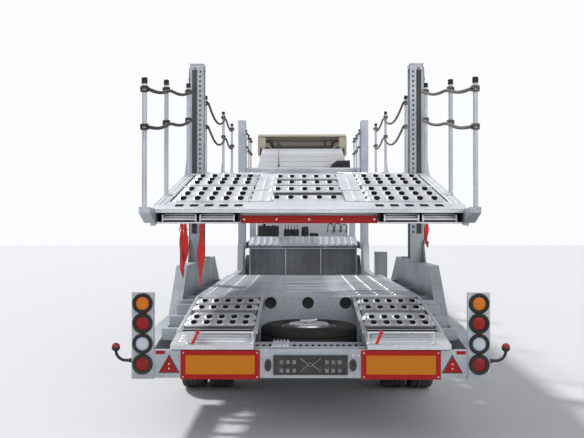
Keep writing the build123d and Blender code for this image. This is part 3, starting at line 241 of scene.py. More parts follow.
def add_knot(name, x, y, z, material, body):
    """Three turns of the rope round the post, drawn tight"""
    strand = 0.008
    bm = bmesh.new()
    for rise, radius, lean in ((-0.013, 0.0265, 0.16), (0.004, 0.0275, -0.20), (0.019, 0.0265, 0.12)):
        ring = bmesh.new()
        profile = [(radius + strand * cos(k * tau / 8), strand * sin(k * tau / 8)) for k in range(9)]
        turned_ring(ring, profile, (0, 0, 0), (0, 0, 1), 16)
        tilt = Matrix.Translation((0, 0, rise)) @ Matrix.Rotation(lean, 4, "X")
        bmesh.ops.transform(ring, matrix=tilt, verts=ring.verts)
        turn_mesh = bpy.data.meshes.new("turn")
        ring.to_mesh(turn_mesh)
        ring.free()
        bm.from_mesh(turn_mesh)
        bpy.data.meshes.remove(turn_mesh)
    bmesh.ops.translate(bm, verts=bm.verts, vec=(x, y, z))
    return finished_piece(name, bm, material, body)


rope_diameter = 0.028
rope_drop = 0.290  # from the upper rope to the lower one
rope_colours = (rope_finish("rope_black", (0.045, 0.042, 0.04)), rope_finish("rope_brown", (0.16, 0.145, 0.13)))
# Points of the upper ropes, right side: |x|, station, height
rope_groups = (
    ("rear", (
        ((1.2285, 0.455, 2.660), (1.223, 0.755, 2.686), (1.217, 1.050, 2.736), (1.2115, 1.350, 2.810),
         (1.204, 1.755, 2.840), (1.196, 2.155, 2.904), (1.1885, 2.560, 3.000)),
        ((1.1865, 4.050, 3.120), (1.184, 4.425, 3.048), (1.182, 4.805, 3.014), (1.183, 5.180, 3.020),
         (1.182, 5.555, 3.064), (1.184, 5.935, 3.144), (1.1865, 6.310, 3.260), (1.184, 6.690, 3.182),
         (1.182, 7.065, 3.158), (1.184, 7.440, 3.192), (1.1865, 7.820, 3.280)),
    ), {0.455: 1.262, 1.350: 1.245, 2.560: 1.222, 4.050: 1.220, 6.310: 1.220, 7.820: 1.220}),
    ("front", (
        ((1.1865, 11.440, 3.630), (1.184, 11.725, 3.566), (1.183, 12.015, 3.560), (1.1865, 12.300, 3.620),
         (1.184, 12.555, 3.574), (1.183, 12.815, 3.580), (1.1865, 13.070, 3.640)),
    ), {11.440: 1.220, 12.300: 1.220, 13.070: 1.220}),
)
for group, routes, posts in rope_groups:
    body = f"{group}_platform"
    ropes = []
    for (side, hand), material in zip(hands, rope_colours):
        for level, drop in (("upper", 0), ("lower", rope_drop)):
            for number, route in enumerate(routes, start=1):
                name = f"{group}_rope_{hand}_{level}_{number}"
                points = [(side * x, tail + t, h - drop) for x, t, h in route]
                rope, runs = round_cord(name, points, rope_diameter, material, body)
                knots = [
                    add_knot(f"{name}_knot_{int(t * 1000)}", side * posts[t], tail + t, h - drop, material, body)
                    for x, t, h in route if t in posts
                ]
                ropes.append(rope)
    for rope in ropes:
        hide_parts(f"{group}_ropes")

# Trailer steelwork: welded, hot-dip galvanised members, pale in the light and bluish where they turn
# away, with the zinc's spangle and road dust low down.
def paint_over(material, factor, tone, **traits):
    """Mix a tone over the material's present one; factor and tone are values or sockets"""
    tree = material.node_tree
    base = tree.nodes["Principled BSDF"].inputs["Base Color"]
    values, wires = {}, {6: base.links[0].from_socket}
    for socket, term in (("Factor", factor), (7, tone)):
        wired = isinstance(term, bpy.types.NodeSocket)
        (wires if wired else values)[socket] = term
    tree.links.new(add_node(tree, "Mix", values, wires, data_type="RGBA", **traits)[2], base)


def galvanised(name, light, dim, roughness=(0.38, 0.6)):
    """Zinc: soft clouds of two tones, and spangle crystals that differ a little in tone"""
    material = worn_finish(name, light, dim, metallic=0.45, roughness=roughness, scale=2.2, grain=90, bump=0.2,
                           dust_amount=0.35)
    tree = material.node_tree
    place = add_node(tree, "TexCoord")["Object"]
    spangle = add_node(tree, "TexVoronoi", {"Scale": 55}, {"Vector": place})["Color"]
    facets = add_node(tree, "RGBToBW", wires={0: spangle})[0]
    shade = add_node(tree, "MapRange", {"To Min": 0.86, "To Max": 1.06}, {"Value": facets})["Result"]
    paint_over(material, 1, shade, blend_type="MULTIPLY")
    return material


def dress(material, *nodes):
    """Give CAD nodes their finish"""
    for node in nodes:
        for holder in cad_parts[node].material_slots:
            holder.material = material


zinc = galvanised("zinc_new", (0.56, 0.59, 0.63), (0.42, 0.45, 0.50))
zinc_frame = galvanised("zinc_frame", (0.46, 0.495, 0.54), (0.33, 0.36, 0.41))
zinc_deck = galvanised("zinc_deck", (0.66, 0.68, 0.71), (0.52, 0.55, 0.59), roughness=(0.3, 0.5))
dress(zinc_frame, "trailer_frame", "side_frames", "spare_cradle", "tail_beam", "rear_platform_frame",
      "front_platform_frame", "rear_columns", "front_columns")
dress(zinc, "neck_deck", "rear_posts", "front_posts")


def about(middle, half):
    """The span that reaches half to each side of its middle"""
    return middle - half, middle + half


def add_block(bm, x_span, t_span, h_span):
    """A plate or bar between two x, two stations and two heights"""
    size = [abs(span[1] - span[0]) for span in (x_span, t_span, h_span)]
    middle = Vector((sum(x_span) / 2, tail + sum(t_span) / 2, sum(h_span) / 2))
    bmesh.ops.create_cube(bm, size=1, matrix=Matrix.Translation(middle) @ Matrix.Diagonal((*size, 1)))


def add_rod(bm, start, end, radius, steps=12, end_radius=None):
    """A round bar between two points of x, station and height"""
    a, b = (Vector((x, tail + t, h)) for x, t, h in (start, end))
    turn = (b - a).to_track_quat("Z", "Y").to_matrix().to_4x4()
    bmesh.ops.create_cone(
        bm, cap_ends=True, segments=steps, radius1=radius, radius2=radius if end_radius is None else end_radius,
        depth=(b - a).length, matrix=Matrix.Translation((a + b) / 2) @ turn
    )


def add_surface(bm, rows, closed=True, ends=False):
    """Faces between rows of points; closed rows run round, and the end rows can be capped"""
    rows = [[bm.verts.new(point) for point in row] for row in rows]
    for near, far in zip(rows, rows[1:]):
        for k in range(len(near) if closed else len(near) - 1):
            m = (k + 1) % len(near)
            bm.faces.new((near[k], near[m], far[m], far[k]))
    if ends:
        bm.faces.new(rows[0])
        bm.faces.new(rows[-1])


def add_skin(bm, rows, closed=True, ends=False):
    """A surface whose points are given as x, station and height"""
    add_surface(bm, [[(x, tail + t, h) for x, t, h in row] for row in rows], closed, ends)


def built(name, material, body="trailer", slot="galvanised_steel", side=1, soft=0, segments=2, blocks=(), rods=(),
          rings=(), balls=(), solids=(), bands=(), beads=(), ribs=()):
    """A piece put together from simple parts, all by x, station and height, mirrored where side is -1:
    solids are capped skins, bands run round without caps, beads are capped and open below, ribs are plain skins"""
    bm = bmesh.new()
    for x_span, t_span, h_span in blocks:
        add_block(bm, [side * x for x in x_span], t_span, h_span)
    for (x0, *start), (x1, *end), *section in rods:
        add_rod(bm, (side * x0, *start), (side * x1, *end), *section)
    for profile, (x, t, h), axis, steps in rings:
        turned_ring(bm, profile, (side * x, tail + t, h), axis, steps)
    for (x, t, h), radius, around, over, stretch in balls:
        place = Matrix.Translation((side * x, tail + t, h)) @ Matrix.Diagonal((*stretch, 1))
        bmesh.ops.create_uvsphere(bm, u_segments=around, v_segments=over, radius=radius, matrix=place)
    for skins, closed, ends in (
        (solids, True, True), (bands, True, False), (beads, False, True), (ribs, False, False),
    ):
        for rows in skins:
            add_skin(bm, [[(side * x, t, h) for x, t, h in row] for row in rows], closed, ends)
    return finished_piece(name, bm, material, body, soft, segments)


def paired(name, material, body="trailer", *slot, **parts):
    """Two mirrored pieces, left and right; a body whose name ends with _ is each side's own"""
    return [
        built(f"{name}_{hand}", material, body + hand if body.endswith("_") else body, *slot, side=side, **parts)
        for side, hand in hands
    ]


# Tail marker boards: orange reflective centres in red reflective borders on aluminium backs,
# each held by four screws.
def moulded(name, first, second, cell, randomness, strength, distance, gloss, specular):
    """A glossy plastic face with small cells in its tone and its bump"""
    material, tree, shader, place = material_nodes(name, {"Roughness": gloss, "Specular IOR Level": specular})
    cells = add_node(tree, "TexVoronoi", {"Scale": cell, "Randomness": randomness}, {"Vector": place})["Distance"]
    tree.links.new(add_ramp(tree, cells, first, second), shader.inputs["Base Color"])
    add_bump(tree, shader, cells, strength, distance)
    return material


def reflective(name, colour, cell=260.0):
    """Reflective film: small prisms under a glossy face"""
    return moulded(name, colour, [part * 0.72 for part in colour], cell, randomness=0.15, strength=0.25,
                   distance=0.0006, gloss=0.22, specular=0.25)


board_red = reflective("board_red", (0.42, 0.004, 0.003))
board_orange = reflective("board_orange", (0.60, 0.190, 0.0))
screw_steel = worn_finish("screw_steel", (0.55, 0.55, 0.55), (0.4, 0.4, 0.42), metallic=0.9, roughness=(0.3, 0.45))
board_x = (0.358, 0.918)
board_h = (0.532, 0.737)
centre_x, centre_h = ((low + 0.036, high - 0.036) for low, high in (board_x, board_h))
screw_x, screw_h = ((low + 0.018, high - 0.018) for low, high in (board_x, board_h))
for board in paired("board", board_red, slot="board_orange", soft=0.003,
                    blocks=[(board_x, (0.0165, 0.030), board_h)]):
    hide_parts("marker_boards")
paired("board_centre", board_orange, slot="board_orange", soft=0.0006, segments=1,
       blocks=[(centre_x, (0.0155, 0.0175), centre_h)])
paired("board_screws", screw_steel, soft=0.001,
       rods=[((x, 0.0150, h), (x, 0.020, h), 0.006) for x in screw_x for h in screw_h])

# Red triangles and the small reflectors: moulded reflectors in a black backing, two screws each.
triangle_red = reflective("triangle_red", (0.38, 0.004, 0.004), cell=180)
black_moulding = worn_finish("black_moulding", (0.028, 0.028, 0.03), (0.05, 0.05, 0.052), roughness=(0.45, 0.65))
triangle_h = 0.575 + 0.131 / 3
triangle = ((-0.0755, 0.575 - triangle_h), (0.0755, 0.575 - triangle_h), (0, 0.706 - triangle_h))
reflectors = paired("small_reflector", triangle_red, slot="lamp_red", soft=0.002,
                    blocks=[((1.030, 1.095), (0.024, 0.030), (0.708, 0.732))])
for name, material, shrink, front, back in (
    ("triangle_rim", black_moulding, 1.0, 0.0235, 0.030),
    ("triangle", triangle_red, 0.86, 0.0222, 0.0285),
):
    faces = [[(1.000 + x * shrink, t, triangle_h + h * shrink) for x, h in triangle] for t in (back, front)]
    reflectors += paired(name, material, slot="lamp_red", soft=0.004, segments=3, solids=[faces])
for piece in reflectors:
    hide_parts("reflectors")
paired("triangle_screws", screw_steel,
       rods=[((1.000, 0.0220, h), (1.000, 0.0245, h), 0.0062) for h in (0.607, 0.640)])


# Tail lamps: four round lamps on each upright panel, amber, red, white and red from the top;
# each is a moulded lens with rings in it, held in a fat black rubber ring.
def lens(name, colour):
    """Tinted moulded plastic over a bright bowl"""
    return moulded(name, [min(1, part * 1.25) for part in colour], [part * 0.6 for part in colour], 150,
                   randomness=0.0, strength=0.4, distance=0.001, gloss=0.12, specular=0.35)


lamp_rubber = worn_finish("lamp_rubber", (0.012, 0.012, 0.013), (0.022, 0.022, 0.024), roughness=(0.5, 0.7))
amber = lens("lens_amber", (0.66, 0.17, 0.004))
lamp_colours = (
    ("amber", 1.067, amber),
    ("red_upper", 0.927, lens("lens_red", (0.30, 0.002, 0.003))),
    ("white", 0.783, lens("lens_white", (0.52, 0.58, 0.66))),
    ("red_lower", 0.639, lens("lens_red_lower", (0.26, 0.002, 0.003))),
)
lamp_ring = [(0.0485, 0.001), (0.072, 0.001), (0.0725, 0.010), (0.069, 0.017), (0.060, 0.0195), (0.0505, 0.018),
             (0.0465, 0.013), (0.0465, 0.001), (0.0485, 0.001)]
lamp_dome = [(0.0, 0.0165), (0.012, 0.0163), (0.013, 0.0152), (0.026, 0.0148), (0.027, 0.0136), (0.038, 0.0125),
             (0.0385, 0.0112), (0.0475, 0.0092), (0.0475, 0.002), (0.0, 0.002)]
for name, h, glass in lamp_colours:
    place = (1.1865, 0.020, h)
    lamps = paired(f"lamp_ring_{name}", lamp_rubber, slot="rubber", rings=[(lamp_ring, place, (0, -1, 0), 40)])
    lamps += paired(f"lamp_lens_{name}", glass, slot="lamp_red", rings=[(lamp_dome, place, (0, -1, 0), 40)])
    for lamp in lamps:
        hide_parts("tail_lamps")

# Marker lamps on curved rubber arms: a red ball lamp with a black collar on each arm's end.
arm_rubber = worn_finish("arm_rubber", (0.018, 0.018, 0.02), (0.03, 0.03, 0.032), roughness=(0.55, 0.75))
marker_red = lens("marker_red", (0.30, 0.01, 0.012))
bend = 0.07
arm_t, arm_h, arm_radius = 0.040, 0.662, 0.0108
root, tip = 1.264, 1.380
path = [(root, arm_t, arm_h), (tip - bend, arm_t, arm_h)]
path += [(tip - bend + bend * sin(k * pi / 12), arm_t, arm_h + bend * (1 - cos(k * pi / 12))) for k in range(1, 7)]
arm_rods = [(start, end, arm_radius, 14) for start, end in zip(path, path[1:])]
arm_rods.append((path[0], (root + 0.022, arm_t, arm_h), 0.020, 20, 0.013))
ball_place = (tip, arm_t, arm_h + bend + 0.026)
ball_radius = 0.0293
ball_profile = [(ball_radius * sin(k * pi / 12), -ball_radius * cos(k * pi / 12)) for k in range(13)]
cup_profile = [(0.0, -0.030), (0.016, -0.030), (0.026, -0.020), (0.0298, -0.006), (0.0298, -0.001), (0.0, -0.001)]
markers = paired("marker_arm", arm_rubber, slot="rubber", rods=arm_rods,
                 balls=[(place, arm_radius, 14, 8, (1, 1, 1)) for place in path[1:-1]])
markers += paired("marker_ball", marker_red, slot="lamp_red", rings=[(ball_profile, ball_place, (0, 0, 1), 24)])
markers += paired("marker_cup", arm_rubber, slot="rubber", rings=[(cup_profile, ball_place, (0, 0, 1), 24)])
for piece in markers:
    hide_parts("marker_arms")

# Number plate holder: black moulding with a rim and a grey lattice, left blank, and an oval lamp at each end.
holder_black = worn_finish("holder_black", (0.02, 0.02, 0.022), (0.04, 0.04, 0.043), roughness=(0.35, 0.55),
                           scale=12, grain=140)
dress(holder_black, "plate_holder")
built("plate_holder_ribs", holder_black, slot="black_plastic", soft=0.001, segments=1,
      blocks=[(about(x, 0.004), (0.0155, 0.0185), (0.580, 0.688)) for x in (-0.190, -0.095, 0.0, 0.095, 0.190)]
      + [((-0.245, 0.245), (0.0158, 0.0185), about(h, 0.003)) for h in (0.600, 0.634, 0.668)])
holder_grey = worn_finish("holder_grey", (0.20, 0.21, 0.22), (0.11, 0.115, 0.12), metallic=0.3, roughness=(0.25, 0.4),
                          scale=14, grain=140)
sides = (-1, 1)
built("plate_holder_lattice", holder_grey, slot="black_plastic", soft=0.001, segments=1,
      rods=[((side * 0.014, 0.0160, 0.635), (side * 0.072, 0.0160, h), 0.0040, 10)
            for side in sides for h in (0.590, 0.680)],
      blocks=[(about(side * x, 0.013), (0.0152, 0.0170), (h - 0.010, h + 0.018))
              for side in sides for x in (0.115, 0.160, 0.205) for h in (0.590, 0.650)],
      rings=[([(0.010, -0.002), (0.015, -0.002), (0.015, 0.002), (0.010, 0.002), (0.010, -0.002)],
              (0, 0.0165, 0.635), (0, 1, 0), 24)])
built("plate_lamp_ribs", lamp_rubber, slot="black_plastic", soft=0.001, segments=1,
      blocks=[((side * 0.284, side * 0.316), (0.0068, 0.010), about(h, 0.004))
              for side in sides for h in (0.611, 0.632, 0.653)])

# Tail tracks: pressed steel, with rows of grip holes in rounded bars whose lips grip the tyres, rounded
# ridges between the bars, and a raised edge along each side.
def deck_height(line, t):
    """Height of a deck's surface at a station"""
    for (t0, h0), (t1, h1) in zip(line, line[1:]):
        if t <= t1:
            break
    return h0 + (h1 - h0) * (t - t0) / (t1 - t0)


def deck_spot(line, t):
    """A function that turns x, a step forward and a rise into a point by the deck's surface at a station"""
    reach = 0.05
    ground = deck_height(line, t)
    slope = (deck_height(line, t + reach) - deck_height(line, t - reach)) / (2 * reach)
    return lambda x, forward, rise: (x, t + forward, ground + slope * forward + rise)


def deck_bar(line, x_span, t_span, low, high):
    """The end rows of a bar along a deck, from low to high over its surface"""
    section = ((x_span[0], low), (x_span[1], low), (x_span[1], high), (x_span[0], high))
    return [[(x, t, deck_height(line, t) + rise) for x, rise in section] for t in t_span]


def deck_bolts(line, stations, places, head, washer):
    """Bars of hexagon heads and washers on a deck, at both sides"""
    bars = []
    for t in stations:
        h = deck_height(line, t)
        for x in [side * x for side in sides for x in places]:
            for rise, radius, steps in ((head, 0.011, 6), (washer, 0.017, 16)):
                bars.append(((x, t, h - 0.001), (x, t, h + rise), radius, steps))
    return bars


def slot_rim(line, x, t, length, width, lift, wall):
    """Rows of a raised rim round a slot across the deck"""
    spot = deck_spot(line, t)
    turns = [(side, side * pi / 2 - k * pi / 6) for side in (1, -1) for k in range(7)]
    half = width / 2
    return [
        [spot(x + side * (length - width) / 2 + out * cos(turn), out * sin(turn), rise) for side, turn in turns]
        for out, rise in ((half + wall, 0.0004), (half + wall * 0.4, lift), (half - 0.0008, lift * 0.8),
                          (half - 0.0008, -0.004))
    ]


def ridge(line, x_span, t, width, lift):
    """Rows of a rounded rib pressed up across a track, its ends run out"""
    steps = 8
    spot = deck_spot(line, t)
    run_out = width * 0.6
    stops = ((x_span[0], 0), (x_span[0] + run_out, 1), (x_span[1] - run_out, 1), (x_span[1], 0))
    return [[spot(x, width * k / steps - width / 2, 0.0003 + lift * swell * sin(pi * k / steps))
             for k in range(steps + 1)] for x, swell in stops]


def add_grip_bar(bm, necks, line, places, t, radius, half_x, front, lift):
    """A rounded bar pressed up across a track, its crown ahead of a row of drawn holes, which so look rearward.
    necks is the mesh of the holes' inner walls, painted near black as shade."""
    rear = radius + 0.008
    crown = 0.60 * front
    spot = deck_spot(line, t)
    steps = 32
    turns = [(cos(k * tau / steps), sin(k * tau / steps)) for k in range(steps)]

    def swell(forward):
        share = (forward + rear) / (crown + rear) if forward < crown else (front - forward) / (front - crown)
        return 0.0003 + lift * sin(pi / 2 * max(0, min(1, share)))

    for x in places:
        rows = []
        for share, lip in ((0.0, 0.0045), (0.14, 0.0035), (0.3, 0), (0.55, 0), (0.8, 0), (1.0, 0)):
            row = []
            for c, s in turns:
                edge = max(abs(c), abs(s))
                dx = (1 - share) * radius * c + share * half_x * c / edge
                dt = (1 - share) * radius * s + share * (front if s > 0 else rear) * s / edge
                row.append(spot(x + dx, dt, swell(dt) + lip))
            rows.append(row)
        add_skin(bm, rows)
        foot = radius - 0.002
        add_skin(necks, [[spot(x + radius * c, radius * s, swell(radius * s) + 0.0045) for c, s in turns],
                         [spot(x + foot * c, foot * s, -0.020) for c, s in turns]])
    strides = [(rear + front) * k / 12 - rear for k in range(13)]
    for x, out in ((min(places) - half_x, -0.028), (max(places) + half_x, 0.028)):
        rows = [[spot(x + out * share, stride, swell(stride) * rise) for stride in strides]
                for share, rise in ((0, 1.0), (0.5, 0.62), (1.0, 0.0))]
        add_skin(bm, rows, closed=False)


def add_grip_field(names, body, line, places, stations, *sizes):
    """Grip bars at several stations, and their holes' inner walls in painted shade"""
    bm, necks = bmesh.new(), bmesh.new()
    for t in stations:
        add_grip_bar(bm, necks, line, places, t, *sizes)
    finished_piece(names[0], bm, zinc_deck, body, smooth=True)
    finished_piece(names[1], necks, shade_and_seam_black, body)


def reckon(tree, operation, *terms):
    """A math node over numbers and sockets"""
    values, wires = {}, {}
    for k, term in enumerate(terms):
        (values if isinstance(term, (int, float)) else wires)[k] = term
    return add_node(tree, "Math", values, wires, operation=operation)[0]


def within(tree, value, span):
    """1 where a value lies in a span, 0 outside it"""
    return reckon(tree, "MULTIPLY", reckon(tree, "GREATER_THAN", value, span[0]),
                  reckon(tree, "LESS_THAN", value, span[1]))


def place_parts(tree):
    """The X, Y and Z of the object's own coordinates"""
    return add_node(tree, "SeparateXYZ", wires={0: add_node(tree, "TexCoord")["Object"]})


def paint_hole_shade(name, source, low_planes, floor, depth_span, start, x_span):
    """A finish for a perforated deck: the walls of its holes and slots, below the surface, are painted near black as
    shade.
    low_planes are (rise, height at station 0) of the deck's slopes; the surface is the lowest of them,
    though never under floor."""
    material = source.copy()
    material.name = name
    tree = material.node_tree
    parts = place_parts(tree)
    planes = [reckon(tree, "MULTIPLY_ADD", parts["Y"], rise, height - rise * tail) for rise, height in low_planes]
    surface = planes[0]
    for plane in planes[1:]:
        surface = reckon(tree, "MINIMUM", surface, plane)
    depth = reckon(tree, "SUBTRACT", reckon(tree, "MAXIMUM", surface, floor), parts["Z"])
    ahead = reckon(tree, "GREATER_THAN", parts["Y"], tail + start)
    across = within(tree, reckon(tree, "ABSOLUTE", parts["X"]), x_span)
    share = reckon(tree, "MULTIPLY", within(tree, depth, depth_span), reckon(tree, "MULTIPLY", ahead, across))
    # Painted shade: near black on the hole and slot walls below the surface, with the metallic taken away there.
    paint_over(material, reckon(tree, "MULTIPLY", share, 0.93), (0.012, 0.012, 0.013, 1))
    metallic = reckon(tree, "MULTIPLY_ADD", share, -0.45, 0.45)
    tree.links.new(metallic, tree.nodes["Principled BSDF"].inputs["Metallic"])
    return material


def paint_shade_between_bars(material, x_span, t_spans, tone, amount):
    """Painted shade in the hollows between the grip bars, within the tracks' borders"""
    tree = material.node_tree
    parts = place_parts(tree)
    across = within(tree, reckon(tree, "ABSOLUTE", parts["X"]), x_span)
    fields = [within(tree, parts["Y"], (tail + first, tail + last)) for first, last in t_spans]
    along = fields[0]
    for field in fields[1:]:
        along = reckon(tree, "MAXIMUM", along, field)
    share = reckon(tree, "MULTIPLY", across, along)
    paint_over(material, reckon(tree, "MULTIPLY", share, amount), (*tone, 1))


# The lower deck's own line: station and height of its surface
lower_line = ((0, 0.776), (1.530, 0.990), (4.700, 0.990), (5.600, 0.620), (10.300, 0.620))
lower_slopes = ((0.13987, 0.776), (0.0, 0.990), (-0.41111, 2.92222))
slot_depth = (0.0012, 0.0390)
# The decks' finishes carry painted shade, near black, on the walls of holes and slots below each surface; the tail
# tracks and the rear platform also carry painted shade in the hollows between the grip bars.
tail_track_finish = paint_hole_shade("zinc_tail_track", zinc_deck, lower_slopes, 0.620, slot_depth, 0.350, (0, 0.990))
paint_shade_between_bars(tail_track_finish, (0.425, 0.963), ((0.352, 1.475),), (0.10, 0.10, 0.105), 0.70)
dress(tail_track_finish, "tail_tracks")
lower_finish = paint_hole_shade("zinc_lower_track", zinc, lower_slopes, 0.620, slot_depth, 1.540, (0.400, 0.990))
dress(lower_finish, "bogie_deck", "well_deck")
# Painted shade: the tongue under the end pieces is near black where it lies below their holes.
tongue_finish = paint_hole_shade("zinc_tongue", zinc_deck, lower_slopes, 0.620, (0.0185, 0.045), 0.060, (0, 0.960))
dress(tongue_finish, "tail_slide_left", "tail_slide_right")
platform_slopes = ((0.20531, 1.61155), (0.072423, 1.973009), (0.012739, 2.349619))
platform_depth = (0.0012, 0.0245)
platform_finish = paint_hole_shade("zinc_platform", zinc_deck, platform_slopes, 0.0, platform_depth, 0.660, (0, 1.250))
paint_shade_between_bars(platform_finish, (0.505, 1.118), ((0.985, 1.640), (1.870, 2.480)), (0.20, 0.21, 0.225), 0.75)
dress(platform_finish, "rear_platform_deck")
front_finish = paint_hole_shade("zinc_front_platform", zinc_deck, ((0.0072464, 2.712899),), 0.0, platform_depth, 9.960,
                            (0, 1.250))
dress(front_finish, "front_platform_deck")
# Near black: painted shade in the holes' necks, in the gap behind the end pieces, beside the pans and inside the lip's
# slots; also the dark of the platform's seams.
shade_and_seam_black = worn_finish("shade_and_seam_black", (0.010, 0.010, 0.011), (0.02, 0.02, 0.021), roughness=(0.6, 0.8), dust_amount=0)
for side, hand in hands:
    add_grip_field((f"tail_grip_bars_{hand}", f"tail_hole_necks_{hand}"), "trailer", lower_line,
                   [side * x for x in (0.495, 0.595, 0.695, 0.795, 0.895)], (0.550, 0.720, 1.040, 1.270),
                   0.0245, 0.050, 0.066, 0.026)
paired("tail_ridges", zinc_deck,
       ribs=[ridge(lower_line, (0.455, 0.935), t, 0.040, 0.010) for t in (0.880, 1.155, 1.400)])
paired("tail_track_edges", zinc_deck, soft=0.002,
       solids=[deck_bar(lower_line, (x, x + 0.025), (0.350, 1.525), 0.0005, 0.006) for x in (0.393, 0.972)])

# Painted shade: a black strip for the gap behind each pull-out end piece, crossed by the frame's flange, and painted
# shadow strips beside each pressed pan. The plate between the bogie tracks has four pressed panels.
for name, x_span, t_span, rise, finish in (
    ("tail_gap", (0.432, 0.955), (0.356, 0.470), 0.0012, shade_and_seam_black),
    ("tail_gap_flange", (0.432, 0.955), (0.402, 0.414), 0.0040, zinc_deck),
    ("tail_pan_shadow_outer", (0.950, 0.966), (0.480, 1.480), 0.0012, shade_and_seam_black),
    ("tail_pan_shadow_inner", (0.422, 0.434), (0.480, 1.480), 0.0012, shade_and_seam_black),
):
    paired(name, finish, slot="shaded_steel", soft=0.0004, segments=1,
           solids=[deck_bar(lower_line, x_span, t_span, 0.0003, rise)])
built("bogie_plate_panels", zinc_deck, soft=0.003,
      blocks=[((-0.220, 0.220), about(t, 0.090), (0.9815, 0.9890)) for t in (2.080, 2.440, 2.840, 3.300)]
      + [(about(x, 0.008), (1.700, 4.500), (0.9815, 0.9870)) for x in (-0.300, 0.300)])

# Pull-out end pieces: white galvanised plates with three pressed beads, and the welds of their hoop handles.
hoop_t = 0.040
hoop_h = deck_height(lower_line, hoop_t) + 0.0005
weld_profile = [(0.0065, 0.018), (0.0095, 0.004), (0.0165, 0.0), (0.0065, 0.0)]
paired("slide_beads", zinc_deck, "tail_slide_", "shaded_steel",
       ribs=[ridge(lower_line, (0.445, 0.945), t, 0.030, 0.007) for t in (0.095, 0.165, 0.235)])
paired("hoop_welds", zinc_deck, "tail_slide_", "shaded_steel",
       rings=[(weld_profile, (x, hoop_t, hoop_h), (0, 0, 1), 16) for x in (0.410, 0.870)])

# Bogie and well tracks: slotted sheet with pressed rims round the slots, bolted to the cross members.
for name, first, last, count in (("bogie_slots", 1.680, 4.550, 14), ("well_slots", 4.850, 10.150, 24)):
    stations = [first + (last - first) * k / (count - 1) for k in range(count)]
    paired(name, zinc_deck, bands=[slot_rim(lower_line, x, t, 0.130, 0.030, 0.006, 0.011)
                                   for t in stations for x in (0.530, 0.695, 0.860)])
bolt_stations = (1.590, 2.050, 3.100, 4.400, 5.700, 6.600, 7.500, 8.400, 9.300, 10.200)
built("deck_bolts", screw_steel, rods=deck_bolts(lower_line, bolt_stations, (0.420, 0.970), 0.005, 0.0018))

# Spare wheel in its cradle between the tail tracks: a tyre lying flat on straps, on a dished rim
# clamped by one long bolt; a corrugated clip plate slides on the perforated rails.
tyre_rubber = worn_finish("tyre_rubber", (0.022, 0.022, 0.023), (0.045, 0.043, 0.04), roughness=(0.65, 0.85), scale=6,
                          grain=160, bump=0.35, dust=(0.16, 0.145, 0.125), dust_amount=0.55)
rim_silver = worn_finish("rim_silver", (0.66, 0.67, 0.69), (0.55, 0.56, 0.58), metallic=0.75, roughness=(0.2, 0.36),
                         grain=120, bump=0.08, dust_amount=0.15)


def add_tyre(bm, centre, axis, inner, outer, radius, bead, steps, blocks, tread=0.012):
    """One tyre turned about its axle: bead, rounded sidewall with moulded rings, grooved tread and, at each
    shoulder, a row of blocks"""
    width = outer - inner
    half = width / 2
    foot, tip = half - 0.040, half - 0.003
    wall = [
        (bead, half - 0.022), (bead + 0.012, half - 0.010), (bead + 0.045, half - 0.002), (bead + 0.050, half - 0.0045),
        (bead + 0.056, half - 0.0015), (bead + 0.5 * (radius - bead), half), (radius - 0.062, half - 0.001),
        (radius - 0.058, half - 0.004), (radius - 0.052, half - 0.0015), (radius - 0.030, half - 0.010),
        (radius - 0.012, half - 0.019), (radius - 0.003, half - 0.030),
    ]
    crown = [(radius, foot)]
    groove_top, groove_foot = 0.0055, 0.0045  # half widths
    for place in (0.30, 0.0, -0.30):
        z = place * (width - 0.080)
        crown += [(radius, z + groove_top), (radius - tread, z + groove_foot), (radius - tread, z - groove_foot),
                  (radius, z - groove_top)]
    crown.append((radius, -foot))
    spin = Vector(axis)
    middle = Vector(centre) + spin * (inner + outer) / 2
    turned_ring(bm, wall + crown + [(r, -z) for r, z in reversed(wall)] + wall[:1], middle, axis, steps)
    across = spin.orthogonal().normalized()
    third = spin.cross(across)
    block = ((radius - 0.004, foot), (radius - 0.001, foot + 0.004), (radius - 0.006, tip - 0.010),
             (radius - 0.026, tip - 0.004), (radius - 0.034, tip - 0.010))
    for k in range(blocks):
        for row, sign in enumerate((1, -1)):
            turn = tau * (k + 0.5 + row * 0.5) / blocks
            out = across * cos(turn) + third * sin(turn)
            breadth = spin.cross(out) * (0.18 * tau * radius / blocks)
            rows = [[middle + out * r + spin * (sign * z) + breadth * edge for r, z in block] for edge in (-1, 1)]
            add_surface(bm, rows, closed=False, ends=True)


spare_t = 1.000
upright = (0, 0, 1)
bm = bmesh.new()
add_tyre(bm, (0, tail + spare_t, 0.575 + 0.1165), upright, -0.1165, 0.1165, 0.3985, 0.2215, 72, 0)
# Painted shade: the spare's rubber is darker than the road tyres' and carries almost no dust, as it lies deep under the
# platform.
spare_rubber_shaded = worn_finish("spare_rubber_shaded", (0.014, 0.014, 0.015), (0.024, 0.023, 0.022), roughness=(0.6, 0.8), scale=6,
                           grain=160, bump=0.3, dust_amount=0.05)
spare = finished_piece("spare_tyre_turned", bm, spare_rubber_shaded)
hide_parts("spare_tyre")
dress(rim_silver, "spare_rim")
bolt_profile = [(0.0125, 0.0), (0.0175, 0.0005), (0.0165, 0.002), (0.0125, 0.0025)]
built("spare_bolt_rings", rim_silver, slot="wheel_steel",
      rings=[(bolt_profile, (0.088 * cos(k * tau / 10), spare_t + 0.088 * sin(k * tau / 10), 0.8125), upright, 16)
             for k in range(10)])
dish_profile = [(0.172, 0.7865), (0.169, 0.804), (0.160, 0.8115), (0.152, 0.8128), (0.030, 0.8128), (0.030, 0.8065),
                (0.150, 0.8065), (0.162, 0.7865), (0.172, 0.7865)]
built("spare_rim_dish", rim_silver, slot="wheel_steel", rings=[(dish_profile, (0, spare_t, 0), upright, 64)])
lever_x, lever_t = cos(0.3), sin(0.3)
